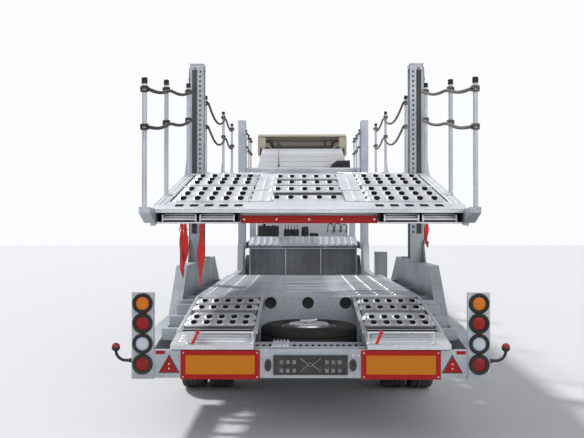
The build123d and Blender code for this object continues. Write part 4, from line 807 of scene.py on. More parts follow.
built("spare_clamp_nut", rim_silver, soft=0.0015, rods=[
    ((0, spare_t, 0.7995), (0, spare_t, 0.826), 0.024, 6),
    ((0, spare_t, 0.826), (0, spare_t, 0.8295), 0.018, 20, 0.015),
    ((0, spare_t, 0.7865), (0, spare_t, 0.7905), 0.060, 32),
    *[((out * 0.012 * lever_x, spare_t + out * 0.012 * lever_t, 0.834),
       (out * 0.075 * lever_x, spare_t + out * 0.075 * lever_t, 0.838), 0.0065, 10) for out in (1, -1)],
    ((0, spare_t, 0.828), (0, spare_t, 0.842), 0.016, 16),
])
built("clip_plate", zinc_deck, soft=0.003,
      blocks=[(about(x, 0.006), (0.108, 0.378), (0.7452, 0.762)) for x in (-0.265, -0.240, -0.215, -0.190, -0.165)]
      + [((-0.280, -0.150), (0.104, 0.382), (0.7452, 0.7515))])
plug_profile = [(0.0, -0.006), (0.030, -0.006), (0.040, -0.003), (0.0455, 0.002), (0.049, 0.004), (0.052, 0.002),
                (0.0525, 0.0), (0.0455, -0.0005), (0.044, -0.009), (0.0, -0.009)]
built("cradle_wall_plugs", lamp_rubber, slot="rubber",
      rings=[(plug_profile, (x, 1.520, 0.930), (0, -1, 0), 32) for x in (-0.335, 0, 0.335)])
paired("rail_lugs", zinc_frame, soft=0.0015,
       blocks=[((0.408, 0.429), about(t, 0.032), (0.690, 0.699)) for t in (0.130, 0.355)],
       rods=[((0.418, t + shift, 0.687), (0.418, t + shift, 0.6905), 0.007, 6)
             for t in (0.130, 0.355) for shift in (-0.020, 0.020)])

# Side frames: folded plates with flanges along their edges, stiffeners over the well, bolts at
# the columns, and amber side lamps on rubber bases.
def plate(outline, xs):
    """The end rows of a plate: its outline of station and height at each x"""
    return [[(x, t, h) for t, h in outline] for x in xs]


upper_edge = ((0.062, 0.700), (0.280, 0.710), (0.900, 0.800), (1.550, 0.820), (2.000, 1.240), (4.450, 1.240),
              (5.250, 0.800), (9.420, 0.800), (9.560, 1.310), (13.398, 1.310))
lower_edge = ((13.398, 1.180), (10.150, 1.180), (10.150, 0.420), (4.420, 0.420), (4.300, 0.870), (1.990, 0.870),
              (1.900, 0.560), (0.062, 0.560))
frame_x = 1.2495
flanges = []
for edge, inward in ((upper_edge, -0.034), (lower_edge, 0.034)):
    for (t0, h0), (t1, h1) in zip(edge, edge[1:]):
        if abs(t1 - t0) < 0.001:
            dt, dh = inward, 0
        else:
            dt, dh = 0, inward * min(2.2, (1 + ((h1 - h0) / (t1 - t0)) ** 2) ** 0.5)
        flanges.append(plate([(t0, h0), (t1, h1), (t1 + dt, h1 + dh), (t0 + dt, h0 + dh)], (frame_x, 1.2545)))
stiffeners = [
    ((frame_x, 1.2555), about(t, 0.004), h_span)
    for stations, h_span in (
        ((5.400, 6.200, 7.000, 7.800, 8.600, 9.300), (0.455, 0.765)),
        ((2.200, 3.400, 4.250), (0.905, 1.205)),
        ((10.600, 11.300, 12.000, 12.700), (1.214, 1.276)),
    ) for t in stations
]
side_bolts = [((frame_x, t, h), (1.2590, t, h), 0.013, 6) for t in (9.620, 9.700, 9.780) for h in (1.080, 1.150)]
side_bolts += [((frame_x, t, h), (1.2575, t, h), 0.010, 6) for t in (13.190, 13.260) for h in (1.230, 1.262)]
lamp_places = ((0.600, 0.640), (3.100, 1.060), (5.800, 0.610), (7.400, 0.610), (9.000, 0.610), (12.350, 1.245))
paired("side_flanges", zinc_frame, solids=flanges, blocks=stiffeners)
paired("side_bolts", screw_steel, rods=side_bolts)
paired("side_lamp_bases", lamp_rubber, slot="rubber", soft=0.005,
       blocks=[((1.2500, 1.2560), about(t, 0.062), about(h, 0.026)) for t, h in lamp_places])
paired("side_lamps", amber, slot="lamp_red", soft=0.005, segments=3,
       blocks=[((1.2555, 1.2680), about(t, 0.050), about(h, 0.017)) for t, h in lamp_places])

# Tail beam: rubber buffers under the tracks, weld seams where the lamp panels meet it, and its bolts.
beam_bolts = [((x, 0.0285, 0.700), (x, 0.0215, 0.700), 0.010, 6) for x in (0.300, 0.340)]
beam_bolts += [((x, 0.0205, h), (x, 0.0150, h), 0.0065, 6)
               for h in (0.590, 0.620, 0.960, 1.110) for x in (1.1215, 1.2515)]
paired("tail_beam_bolts", screw_steel, rods=beam_bolts)
paired("panel_weld", zinc_frame,
       balls=[((1.1085, 0.0295, 0.545 + 0.0105 * k), 0.0048, 8, 6, (1, 0.6, 1.5)) for k in range(18)])
paired("tail_buffer", lamp_rubber, slot="rubber", soft=0.002,
       blocks=[((0.395, 0.985), (0.0300, 0.0400), (0.7352, 0.7395))])

# Lifting columns: open channels of folded plate with a dark lifting screw inside, a cap, a foot bracket,
# and a cable that runs up beside each rear one.
upper_line = ((0.650, 1.745), (2.720, 2.170), (6.310, 2.430), (9.450, 2.470))
dark_steel = worn_finish("dark_steel", (0.035, 0.036, 0.038), (0.07, 0.07, 0.072), metallic=0.4, roughness=(0.4, 0.6),
                         grain=110)
red_paint = worn_finish("red_paint", (0.42, 0.012, 0.01), (0.33, 0.012, 0.01), roughness=(0.35, 0.55), grain=90)
thread_pitch = 0.012
cable = [(1.258, 2.93, 3.33), (1.264, 2.94, 3.20), (1.262, 2.935, 2.9), (1.265, 2.94, 2.5), (1.262, 2.93, 2.0),
         (1.262, 2.935, 1.6), (1.262, 2.95, 1.30)]
foot_outline = [(2.745, 1.243), (2.745, 1.256), (2.897, 1.480), (2.905, 1.480), (2.905, 1.243)]
column_bolts = [((x, t, 1.2395), (x, t, 1.252), 0.013, 6) for t in (2.920, 3.000, 3.080) for x in (1.135, 1.225)]
column_bolts += [((1.250, t, h), (1.256, t, h), 0.011, 6) for h in (1.30, 1.36, 1.42) for t in (2.960, 3.040)]
for number, t, foot, top in ((1, 3.000, 1.270, 3.330), (2, 9.700, 1.340, 3.640)):
    thread = []
    for k in range(int((top - foot - 0.04) / thread_pitch / 4)):
        h = foot + 0.02 + k * thread_pitch * 4
        thread += [(0.0225, h), (0.0275, h + thread_pitch), (0.0275, h + 2 * thread_pitch),
                   (0.0225, h + 3 * thread_pitch)]
    paired(f"lifting_screw_{number}", dark_steel, slot="shaded_steel", rings=[(thread, (1.180, t, 0), upright, 14)])
paired("column_inside", dark_steel, slot="shaded_steel", soft=0.002,
       blocks=[((1.176, 1.244), (2.904, 2.911), (1.545, 3.295))]
       + [((1.174, 1.246), (2.9025, 2.912), about(h, 0.012)) for h in (1.75, 2.20, 2.65, 3.10)])
paired("column_folds", zinc, soft=0.003,
       blocks=[(about(x, 0.0055), (2.8915, 2.8995), (1.30, 3.35)) for x in (1.1125, 1.2475)])
paired("column_cap", zinc, soft=0.002, blocks=[((1.104, 1.256), (2.894, 3.106), (3.360, 3.366))],
       rods=[((x, t, 3.3655), (x, t, 3.374), 0.010, 6) for x in (1.140, 1.220) for t in (2.935, 3.065)])
paired("column_mark", red_paint, slot="lamp_red", soft=0.0008,
       blocks=[((1.186, 1.212), (2.8955, 2.8995), (3.307, 3.322))],
       rods=[((x, 2.8945, 3.3145), (x, 2.8960, 3.3145), 0.0025, 10) for x in (1.190, 1.208)])
paired("column_cable", lamp_rubber, slot="rubber",
       rods=[(start, end, 0.0065, 8) for start, end in zip(cable, cable[1:])],
       blocks=[((1.249, 1.272), (2.925, 2.948), about(h, 0.008)) for h in (1.5, 2.1, 2.7, 3.2)])
paired("column_foot", dark_steel, slot="shaded_steel",
       solids=[plate(foot_outline, (1.243, 1.2505))])
paired("column_bolts", screw_steel, rods=column_bolts)


# Rear platform: a lip with cut corners and slots, rows of grip holes along the tracks, beads on its wings,
# and two ladders of grip bars between the tracks.
def bead_rows(x_span, t_span, lift, steps):
    """The end rows of a rounded bead along the upper deck"""
    width = x_span[1] - x_span[0]
    return [
        [(x_span[0] + width * k / steps, t, deck_height(upper_line, t) + 0.0003 + lift * sin(pi * k / steps))
         for k in range(steps + 1)] for t in t_span
    ]


platform = "rear_platform"
row_places = (0.570, 0.690, 0.810, 0.930, 1.050)
for side, hand in hands:
    add_grip_field((f"platform_grip_bars_{hand}", f"platform_hole_necks_{hand}"), platform, upper_line,
                   [side * x for x in row_places], (1.050, 1.300, 1.560, 1.950, 2.150, 2.390),
                   0.0270, 0.060, 0.074, 0.034)
# Painted shade: near-black bands round the inside of the lip's slots.
paired("lip_slot_wall_shade", shade_and_seam_black, platform, "rubber",
       bands=[slot_rim(upper_line, x, t, 0.066, 0.020, 0.005, 0.004) for t in (0.800, 0.850) for x in row_places])
paired("platform_wing_beads", zinc_deck, platform,
       beads=[bead_rows(about(x, 0.012), t_span, 0.007, 6)
              for x in (1.178, 1.222) for t_span in ((0.900, 1.300), (1.400, 2.500))])
paired("platform_slot_rims", zinc_deck, platform,
       bands=[slot_rim(upper_line, x, 3.330 + 5.920 * k / 24, 0.120, 0.030, 0.006, 0.011)
              for k in range(25) for x in (0.560, 0.715, 0.870)])
add_grip_field(("ladder_grip_bars", "ladder_hole_necks"), platform, upper_line,
               (-0.270, -0.150, -0.030, 0.090, 0.210), (1.107, 1.560, 1.975, 2.370), 0.0245, 0.060, 0.056, 0.030)
built("platform_bolts", screw_steel, platform,
      rods=deck_bolts(upper_line, (3.900, 5.200, 6.500, 7.900, 9.200), (0.500, 1.000), 0.006, 0.002))
seams = (((0.491, 0.502), (0.990, 1.590)), ((0.491, 0.502), (1.625, 2.500)), ((0.310, 0.491), (1.600, 1.608)),
         ((0.310, 0.491), (1.012, 1.018)), ((0.303, 0.309), (1.020, 1.600)))
built("platform_seams", shade_and_seam_black, platform, "shaded_steel",
      solids=[deck_bar(upper_line, [side * x for x in x_span], t_span, 0.0002, 0.0014)
              for side in sides for x_span, t_span in seams])
built("ladder_side_beads", zinc_deck, platform,
      beads=[bead_rows((side * 0.380, side * 0.425), t_span, 0.006, 8)
             for side in sides for t_span in ((1.050, 1.570), (1.650, 2.450))])
lip_edges = [[(side * x, t, deck_height(upper_line, t) + 0.001)
              for x, t in ((1.210, 0.650), (1.2575, 0.790), (1.2575, 2.660))] for side in sides]
rolls = [(lip_edges[0][0], lip_edges[1][0])] + [pair for edge in lip_edges for pair in zip(edge, edge[1:])]
built("platform_edge_roll", zinc_deck, platform, rods=[(start, end, 0.0035, 8) for start, end in rolls])

# Ramp channels under the lip: black inside, with the stowed aluminium ramps' rungs showing.
channel_black = worn_finish("channel_black", (0.014, 0.014, 0.015), (0.028, 0.028, 0.03), roughness=(0.45, 0.65),
                            scale=7, grain=120)
dress(channel_black, "ramp_channels")
ramp_aluminium = worn_finish("ramp_aluminium", (0.62, 0.63, 0.64), (0.5, 0.51, 0.52), metallic=0.8,
                             roughness=(0.25, 0.42), grain=150, flat=(1, 6, 1))
ramp_low = -0.111  # of the ramps' rails, from the deck's surface
rails = [deck_bar(upper_line, about(x, 0.007), (0.730, 2.560), ramp_low, ramp_low + 0.055)
         for x in (0.600, 0.870, 0.905, 1.170)]
rungs = []
for t in [0.745 + 1.79 * k / 18 for k in range(19)]:
    for x_span in ((0.604, 0.866), (0.909, 1.166)):
        rungs.append((x_span, about(t, 0.010), about(deck_height(upper_line, t) - 0.095, 0.008)))
channel_low = deck_height(upper_line, 0.700) - 0.120
paired("stowed_ramps", ramp_aluminium, platform, soft=0.0015, segments=1, solids=rails,
       blocks=rungs)
paired("channel_edge", zinc_deck, platform, soft=0.0015, segments=1,
       blocks=[((0.553, 1.213), (0.6925, 0.6995), (channel_low + 0.0005, channel_low + 0.0125))])
dress(red_paint, "red_bar")
bar_h = deck_height(upper_line, 0.760) - 0.099
built("red_bar_screws", screw_steel, platform,
      rods=[((x, 0.7395, bar_h), (x, 0.7425, bar_h), 0.008, 16) for x in (-0.520, -0.260, 0, 0.260, 0.520)])

# Guard posts: galvanised tube with a black cap, welded to the deck and bolted at its foot.
cap_black = worn_finish("cap_black", (0.018, 0.018, 0.019), (0.03, 0.03, 0.032), roughness=(0.4, 0.6))
# Columns of each group: station, |x|, height of the top
for group, line, posts in (
    ("rear", upper_line, ((0.455, 1.262, 2.750), (1.350, 1.245, 2.900), (2.560, 1.222, 3.090), (4.050, 1.220, 3.210),
                          (6.310, 1.220, 3.350), (7.820, 1.220, 3.370))),
    ("front", ((9.950, 2.785), (13.400, 2.810)),
     ((11.440, 1.220, 3.720), (12.300, 1.220, 3.710), (13.070, 1.220, 3.730))),
):
    body = f"{group}_platform"
    caps, welds, bolts = [], [], []
    for t, x, top in posts:
        caps.append(([(0.0195, top - 0.046), (0.0230, top - 0.045), (0.0235, top - 0.004), (0.018, top + 0.001),
                      (0.0, top + 0.002)], (x, t, 0), upright, 18))
        if t < 1:  # the rearmost post stands behind the deck's edge
            continue
        foot = deck_height(line, t) + 0.007
        welds.append(([(0.0185, foot + 0.010), (0.021, foot + 0.007), (0.0255, foot + 0.0005), (0.0185, foot)],
                      (x, t, 0), upright, 16))
        for place in (t - 0.030, t + 0.030):
            h = deck_height(line, place) + 0.0005
            bolts.append(((x - 0.030, place, h - 0.002), (x - 0.030, place, h + 0.007), 0.008, 6))
    paired(f"{group}_post_caps", cap_black, body, "black_plastic", rings=caps)
    paired(f"{group}_post_feet", zinc, body, rings=welds, rods=bolts)

# Warning ribbons: red woven tape tied to the channels' rear edges, hanging limp and a little twisted.
def ribbon_piece(name, rows, body):
    """A tape of even thickness whose mesh is its middle sheet"""
    bm = bmesh.new()
    add_skin(bm, rows, closed=False)
    ribbon = finished_piece(name, bm, ribbon_red, body, smooth=True)
    thick = ribbon.modifiers.new("tape", "SOLIDIFY")
    thick.thickness = 0.0012
    thick.offset = 0
    return ribbon


ribbon_red = worn_finish("ribbon_red", (0.62, 0.035, 0.025), (0.50, 0.028, 0.022), roughness=(0.6, 0.8), scale=9,
                         grain=300, bump=0.1, dust_amount=0.15)
tree = ribbon_red.node_tree
shader = tree.nodes["Principled BSDF"]
shader.inputs["Sheen Weight"].default_value = 0.3
place = add_node(tree, "TexCoord")["Object"]
threads = add_node(tree, "TexWave", {"Scale": 160}, {"Vector": place}, bands_direction="Z")["Color"]
add_bump(tree, shader, threads, 0.4, 0.0008)
ribbon_t = 0.7035
ribbon_top = channel_low - 0.0003
knot_profile = [(0.0, -0.013), (0.010, -0.011), (0.0155, -0.003), (0.014, 0.006), (0.008, 0.012), (0.0, 0.0125)]
foot_profile = [(0.0, -0.012), (0.013, -0.010), (0.019, -0.001), (0.013, 0.009), (0.0, 0.011)]
loose_ends = ((0.004, 0.0, -0.012), (0.017, -0.005, -0.030), (0.022, -0.004, -0.052), (0.012, -0.002, -0.075))
count = 44
# Columns: name, x, length, width, lean of the folds, has a knot near its foot
for name, x, length, width, phase, knotted in (
    ("outer", -0.985, 0.350, 0.062, 0.4, False),
    ("outer_second", -1.012, 0.430, 0.044, 2.6, False),
    ("inner", -0.856, 0.500, 0.066, 1.1, False),
    ("right", 0.930, 0.190, 0.036, 2.0, True),
):
    rows = []
    for k in range(count + 1):
        fall = k / count
        sway = 0.012 * sin(5.0 * fall + phase) * fall
        out = -0.0035 + 0.0045 * sin(9 * fall + phase * 2) * min(1, fall * 3)
        turn = 0.95 * sin(4.2 * fall + phase) * min(1, 2 * fall)
        narrow = min(1, 0.15 + 2.3 * fall) * min(1, 0.18 + 5 * (1 - fall))
        narrow *= 1 - 0.22 * (1 + sin(7 * fall + phase)) / 2
        row = []
        for m in range(9):
            share = m / 8 - 0.5
            across = share * width * narrow
            curl = 0.0035 * cos(6.4 * share) * sin(6 * fall + phase)
            fray = 0.004 * sin(m * 2.1) if k == count else 0
            row.append((x + sway + across * cos(turn), ribbon_t + out + across * sin(turn) + curl,
                        ribbon_top - length * fall + fray))
        rows.append(row)
    ribbon = ribbon_piece(f"ribbon_{name}", rows, platform)
    bm = bmesh.new()
    turned_ring(bm, knot_profile, (x, tail + ribbon_t, ribbon_top - 0.014), upright, 14)
    for lean in (-1, 1):
        outer = [(x + lean * across, 0.7005 + out, ribbon_top + drop) for across, out, drop in loose_ends]
        inner = [(x + lean * (across - 0.010 + 0.002 * k), 0.6990 + out, ribbon_top + drop - 0.004)
                 for k, (across, out, drop) in enumerate(loose_ends)]
        add_skin(bm, (outer, inner), closed=False)
    with_pieces = [finished_piece(f"ribbon_knot_{name}", bm, ribbon_red, platform)]
    if knotted:
        foot_knot = built(f"ribbon_foot_knot_{name}", ribbon_red, platform, "ribbon",
                          rings=[(foot_profile, (x + 0.001, 0.7015, ribbon_top - 0.150), upright, 14)])
        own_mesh(foot_knot)
        with_pieces.append(foot_knot)
    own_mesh(ribbon)
    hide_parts("ribbons")

# Short ribbons tied round the hoop handles, blown a little to the left.
length = 0.150
width = 0.028
wrap_profile = [(0.0075, -0.014), (0.0125, -0.012), (0.0145, 0.0), (0.0125, 0.012), (0.0075, 0.014), (0.0075, -0.014)]
for hand, x in (("left", -0.800), ("right", 0.500)):
    body = f"tail_slide_{hand}"
    rows = []
    for k in range(19):
        fall = k / 18
        narrow = (0.45 + 0.6 * sin(pi * min(1, fall * 1.1))) * min(1, 0.2 + 4 * (1 - fall))
        row = []
        for m in range(5):
            across = (m / 4 - 0.5) * width * narrow
            row.append((x - 0.055 * fall ** 1.2 + across, 0.0305 - 0.010 * fall + 0.004 * sin(8 * fall + m),
                        0.866 - 0.125 * fall + across * 0.4))
        rows.append(row)
    ribbon = ribbon_piece(f"hoop_ribbon_{hand}", rows, body)
    wrap = built(f"hoop_ribbon_wrap_{hand}", ribbon_red, body, "ribbon",
                 rings=[(wrap_profile, (x, 0.040, 0.860), (1, 0, 0), 14)])

# Wheels: twin tyres with grooved treads, shoulder blocks and moulded rings on their walls, on silver
# disc wheels with ten nuts each and eight hand holes.
def add_wheel(body, side, t, radius, spans, bead, blocks, tread, disc_profile, nuts, holes):
    """Tyres between spans of x, their disc, its nuts and its hand holes. nuts are (ring, x, height, radius);
    holes are (ring, x, profile)."""
    centre = Vector((0, tail + t, radius))
    axis = Vector((side, 0, 0))
    turning = []
    for number, (inner, outer) in enumerate(spans):
        bm = bmesh.new()
        add_tyre(bm, centre, axis, inner, outer, radius, bead, 88, blocks, tread)
        name = f"{body}_tyre_{number}" if len(spans) > 1 else f"{body}_tyre"
        turning.append(finished_piece(name, bm, tyre_rubber, body))
    bm = bmesh.new()
    turned_ring(bm, disc_profile, centre, axis, 64)
    turning.append(finished_piece(f"{body}_rim", bm, rim_silver, body))
    across = axis.orthogonal().normalized()
    third = axis.cross(across)
    ring, x, height, nut_radius = nuts
    bars = []
    for k in range(10):
        turn = tau * (k + 0.5) / 10
        foot = centre + axis * x + (across * cos(turn) + third * sin(turn)) * ring
        tops = [foot + axis * height * share for share in (0, 1, 1.45)]
        places = [(place.x, place.y - tail, place.z) for place in tops]
        bars += [(places[0], places[1], nut_radius, 6), (places[1], places[2], nut_radius * 0.55, 10)]
    built(f"{body}_nuts", screw_steel, body, "wheel_steel", rods=bars)
    ring, x, profile = holes
    bm = bmesh.new()
    for k in range(8):
        turn = tau * k / 8
        middle = centre + axis * x + Vector((0, cos(turn) * ring, sin(turn) * ring))
        turned_ring(bm, profile, middle, axis, 20)
    finished_piece(f"{body}_hand_holes", bm, dark_steel, body)
    for piece in turning:
        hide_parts(body)


twin_hole = [(0.0, 0.0), (0.019, 0.0), (0.0235, 0.004), (0.024, 0.010), (0.021, 0.0095), (0.017, 0.003),
             (0.0, 0.0015)]
# Columns: name, station, tyre radius, |x| of the outer wall, tyre width, pitch, bead radius, blocks, tread depth
for name, t, radius, outer, width, pitch, bead, blocks, tread in (
    ("trailer_wheels_1", 2.450, 0.3985, 1.240, 0.233, 0.270, 0.222, 56, 0.011),
    ("trailer_wheels_2", 3.760, 0.3985, 1.240, 0.233, 0.270, 0.222, 56, 0.011),
    ("drive_wheels", 11.500, 0.480, 1.220, 0.290, 0.328, 0.286, 52, 0.016),
):
    wall = outer - width
    inner = wall - pitch
    disc = outer - 0.085
    disc_profile = [
        (0.0455, disc + 0.055), (0.075, disc + 0.055), (0.085, disc + 0.045), (0.088, disc - 0.030),
        (0.110, disc - 0.040), (0.165, disc - 0.042), (0.175, disc - 0.052), (bead - 0.030, wall + 0.060),
        (bead - 0.024, wall + 0.030), (bead - 0.020, outer - 0.060), (bead - 0.016, outer - 0.035),
        (bead - 0.004, outer - 0.030), (bead + 0.006, outer - 0.018), (bead + 0.012, outer - 0.019),
        (bead + 0.012, outer - 0.024), (bead - 0.002, outer - 0.036), (bead - 0.002, wall + 0.030),
        (bead + 0.008, wall + 0.018), (bead - 0.002, wall + 0.010), (bead - 0.002, inner + 0.030),
        (bead + 0.008, inner + 0.018), (bead - 0.020, inner + 0.026), (bead - 0.022, inner + 0.058),
        (0.118, inner + 0.060), (0.118, inner + 0.022), (0.0455, inner + 0.022), (0.0455, disc + 0.055),
    ]
    spans = [(outer - shift - width, outer - shift) for shift in (0, pitch)]
    for side, hand in hands:
        add_wheel(f"{name}_{hand}", side, t, radius, spans, bead, blocks, tread, disc_profile,
                  nuts=(0.138, disc - 0.0415, 0.022, 0.016), holes=(bead / 2 + 0.080, disc - 0.058, twin_hole))

# Steered wheels: single wide tyres on deep discs with a hub cover.
front_disc = [
    (0.0355, 1.130), (0.060, 1.132), (0.085, 1.122), (0.092, 1.075), (0.115, 1.072), (0.195, 1.070), (0.210, 1.066),
    (0.235, 1.030), (0.262, 1.050), (0.266, 1.110), (0.272, 1.120), (0.290, 1.134), (0.297, 1.133), (0.297, 1.128),
    (0.284, 1.114), (0.284, 0.886), (0.295, 0.872), (0.266, 0.878), (0.262, 0.980), (0.215, 1.040), (0.200, 1.050),
    (0.118, 1.050), (0.118, 0.917), (0.0355, 0.917), (0.0355, 1.130),
]
front_hole = [(0.0, 0.0), (0.015, 0.0), (0.019, 0.006), (0.0195, 0.014), (0.0165, 0.0135), (0.013, 0.003),
              (0.0, 0.0015)]
for side, hand in hands:
    add_wheel(f"front_wheel_{hand}", side, 15.100, 0.480, [(0.850, 1.150)], 0.286, 52, 0.015, front_disc,
              nuts=(0.155, 1.071, 0.024, 0.018), holes=(0.222, 1.052, front_hole))

# Running gear under the trailer and the tractor: axles, arms, springs, frame, fifth wheel and tanks.
chassis_black = worn_finish("chassis_black", (0.03, 0.031, 0.033), (0.06, 0.058, 0.055), roughness=(0.5, 0.7), scale=4,
                            grain=90, dust=(0.2, 0.18, 0.155), dust_amount=0.7)
grey_paint = worn_finish("grey_paint", (0.30, 0.31, 0.33), (0.25, 0.26, 0.28), roughness=(0.35, 0.5), grain=110)
dress(chassis_black, "trailer_axles", "tractor_frame", "fifth_wheel", "engine", "landing_legs", "mudguards",
      "knuckle_left", "knuckle_right")
dress(grey_paint, "tanks", "control_boxes")

# Swan neck: a dark ribbed front wall to the well, then the ribbed roll and floor over the tractor.
neck_shade = galvanised("zinc_shaded", (0.20, 0.215, 0.235), (0.13, 0.14, 0.155), roughness=(0.5, 0.7))
dress(neck_shade, "swan_neck")
built("neck_wall_ribs", neck_shade, slot="shaded_steel", soft=0.004,
      blocks=[(about(-0.980 + 0.140 * k, 0.0145), (10.2845, 10.2875), (0.660, 1.160)) for k in range(15)])
built("neck_wall_frame", zinc, soft=0.003,
      blocks=[(about(x, 0.012), (10.268, 10.2995), (0.640, 1.195)) for x in (-1.068, -0.350, 0.350, 1.068)]
      + [((-1.080, 1.080), (10.268, 10.2995), about(h, 0.010)) for h in (0.648, 1.190)])
neck_line = ((10.300, 1.235), (10.800, 1.400), (13.400, 1.400))
crown = ((-0.030, 0.0122), (-0.020, 0.0172), (0.020, 0.0172), (0.030, 0.0122))
built("neck_roll_crowns", zinc_deck, ribs=[
    [[(x + dx, t, deck_height(neck_line, t) + rise) for dx, rise in crown] for t in (10.362, 10.800, 11.098)]
    for x in [-1.010 + 2.020 * k / 16 for k in range(17)]
])
built("neck_floor_edges", zinc, soft=0.003,
      blocks=[(about(x, 0.012), (11.120, 13.380), (1.400, 1.425)) for x in (-1.085, 1.085)],
      rods=[((x, t, 1.3995), (x, t, 1.407), 0.012, 6)
            for t in (10.900, 11.700, 12.500, 13.365) for x in (-0.900, -0.450, 0, 0.450, 0.900)])

# Equipment across the neck behind the cab: an oil tank, a pump and valve block in black, on brackets.
equipment_black = worn_finish("equipment_black", (0.022, 0.023, 0.025), (0.045, 0.046, 0.048), roughness=(0.35, 0.6),
                              scale=7, grain=130)
lever_places = [-0.400 + 0.070 * k for k in range(5)]
built("oil_tank", equipment_black, slot="black_paint", soft=0.012, segments=3,
      blocks=[((-1.040, -0.560), (12.930, 13.330), (1.405, 1.650))]
      + [(about(x, 0.012), (12.920, 13.335), (1.403, 1.662)) for x in (-0.960, -0.800, -0.640)])
built("oil_tank_cap", cap_black, slot="black_plastic", rods=[
    ((-0.900, 13.080, 1.648), (-0.900, 13.080, 1.690), 0.035, 24),
    ((-0.900, 13.080, 1.690), (-0.900, 13.080, 1.700), 0.030, 24, 0.022),
    ((-0.700, 13.180, 1.648), (-0.700, 13.180, 1.672), 0.022, 6),
])
built("valve_block", equipment_black, slot="black_paint", soft=0.004,
      blocks=[((-0.440, -0.080), (13.020, 13.280), (1.405, 1.560)), ((0.170, 0.370), (13.050, 13.300), (1.405, 1.480))]
      + [(about(x, 0.024), (13.005, 13.060), (1.440, 1.580)) for x in lever_places],
      rods=[((x, 13.030, 1.580), (x, 13.020, 1.660), 0.006, 10) for x in lever_places]
      + [((0.060, 13.150, 1.405), (0.060, 13.150, 1.620), 0.085, 28),
         ((0.060, 13.150, 1.620), (0.060, 13.150, 1.640), 0.070, 28, 0.050)])
built("valve_knobs", red_paint, slot="lamp_red",
      balls=[((x, 13.020, 1.665), 0.012, 12, 8, (1, 1, 1)) for x in lever_places])

# Air and electric lines to the tractor: black hoses that rise in loops behind the cab between couplings
# pressed on their ends, over the neck's own pipes.
hose_black = worn_finish("hose_black", (0.014, 0.014, 0.015), (0.03, 0.03, 0.031), roughness=(0.35, 0.55), grain=140)
coupling_steel = worn_finish("coupling_steel", (0.5, 0.47, 0.38), (0.4, 0.38, 0.33), metallic=0.85,
                             roughness=(0.25, 0.4))
built("coupling_plate", zinc, soft=0.004, blocks=[((0.560, 1.060), (13.290, 13.310), (1.405, 1.560))])
hose_diameter = 0.022
# Columns: name, x of its two ends, top of the loop, how far it swings forward
for name, x0, x1, top, swing in (
    ("left_line", 0.600, 0.735, 1.700, 0.010),
    ("middle_line", 0.765, 0.895, 1.710, -0.020),
    ("right_line", 0.925, 1.045, 1.680, 0.000),
):
    rise = ((13.265, 1.505), (13.200, 1.515), (13.150, 1.565), (13.130 + swing, 1.640))
    over = 13.120 + swing
    places = [(x0, *place) for place in rise] + [(x0 + 0.020, over, top), (x1 - 0.020, over, top)]
    places += [(x1, *place) for place in reversed(rise)]
    places = [(x, tail + t, h) for x, t, h in places]
    hose, runs = round_cord(name, places, hose_diameter, hose_black, "trailer")
    ends = built(f"{name}_couplings", coupling_steel, slot="wheel_steel",
                 rods=[((x, start, 1.505), (x, end, h), radius, steps) for x in (x0, x1)
                       for start, end, h, radius, steps in ((13.292, 13.262, 1.505, 0.017, 6),
                                                            (13.270, 13.240, 1.512, 0.014, 16))])
built("neck_pipes", screw_steel,
      rods=[((x, 11.3, 1.414), (x, end, 1.414), 0.009, 10) for x, end in ((-0.260, 12.95), (0.100, 13.0))],
      blocks=[((-0.290, 0.130), about(t, 0.012), (1.4005, 1.4085)) for t in (11.5, 12.1, 12.7)])

# Tractor cab: white-painted steel panels with black lower parts, grey glass and a beige roof deflector.
def gloss_paint(name, colour, rough=0.22):
    """Two-coat paint with faint orange peel and road film low down"""
    material = worn_finish(name, colour, [part * 0.9 for part in colour], roughness=(rough, rough + 0.14),
                           scale=1.2, grain=45, bump=0.03, dust_amount=0.35)
    shader = material.node_tree.nodes["Principled BSDF"]
    shader.inputs["Coat Weight"].default_value = 0.5
    shader.inputs["Coat Roughness"].default_value = 0.08
    return material


def clear_finish(name, colour, clearness, ior, rough):
    """Glass or clear plastic, with a faint film of road dust in its gloss"""
    values = {"Base Color": (*colour, 1), "Transmission Weight": clearness, "IOR": ior}
    material, tree, shader, place = material_nodes(name, values)
    film = add_node(tree, "TexNoise", {"Scale": 3.5}, {"Vector": place})["Fac"]
    gloss = add_node(tree, "MapRange", {"To Min": rough, "To Max": rough + 0.05}, {"Value": film})
    tree.links.new(gloss["Result"], shader.inputs["Roughness"])
    return material


cab_white = gloss_paint("cab_white", (0.78, 0.79, 0.81))
deflector_beige = gloss_paint("deflector_beige", (0.50, 0.44, 0.33), rough=0.3)
bumper_grey = worn_finish("bumper_grey", (0.11, 0.112, 0.118), (0.075, 0.077, 0.08), roughness=(0.4, 0.6), grain=150)
trim_fabric = worn_finish("trim_fabric", (0.10, 0.105, 0.12), (0.14, 0.145, 0.16), roughness=(0.8, 0.95), scale=14,
                          grain=380, bump=0.4, dust_amount=0)
glass_grey = clear_finish("glass_grey", (0.55, 0.62, 0.62), 0.92, 1.2, 0.01)
mirror_face = worn_finish("mirror_face", (0.75, 0.78, 0.8), (0.7, 0.73, 0.75), metallic=1.0, roughness=(0.02, 0.05),
                          bump=0.0, dust_amount=0)
dress(cab_white, "cab_shell", "door_left", "door_right")
dress(deflector_beige, "roof_deflector")
dress(bumper_grey, "bumper", "cab_steps")
dress(trim_fabric, "cab_interior")
dress(glass_grey, "windscreen")
dress(holder_black, "mirrors", "air_intake")
cab_front = 16.480
cab_floor = 1.110

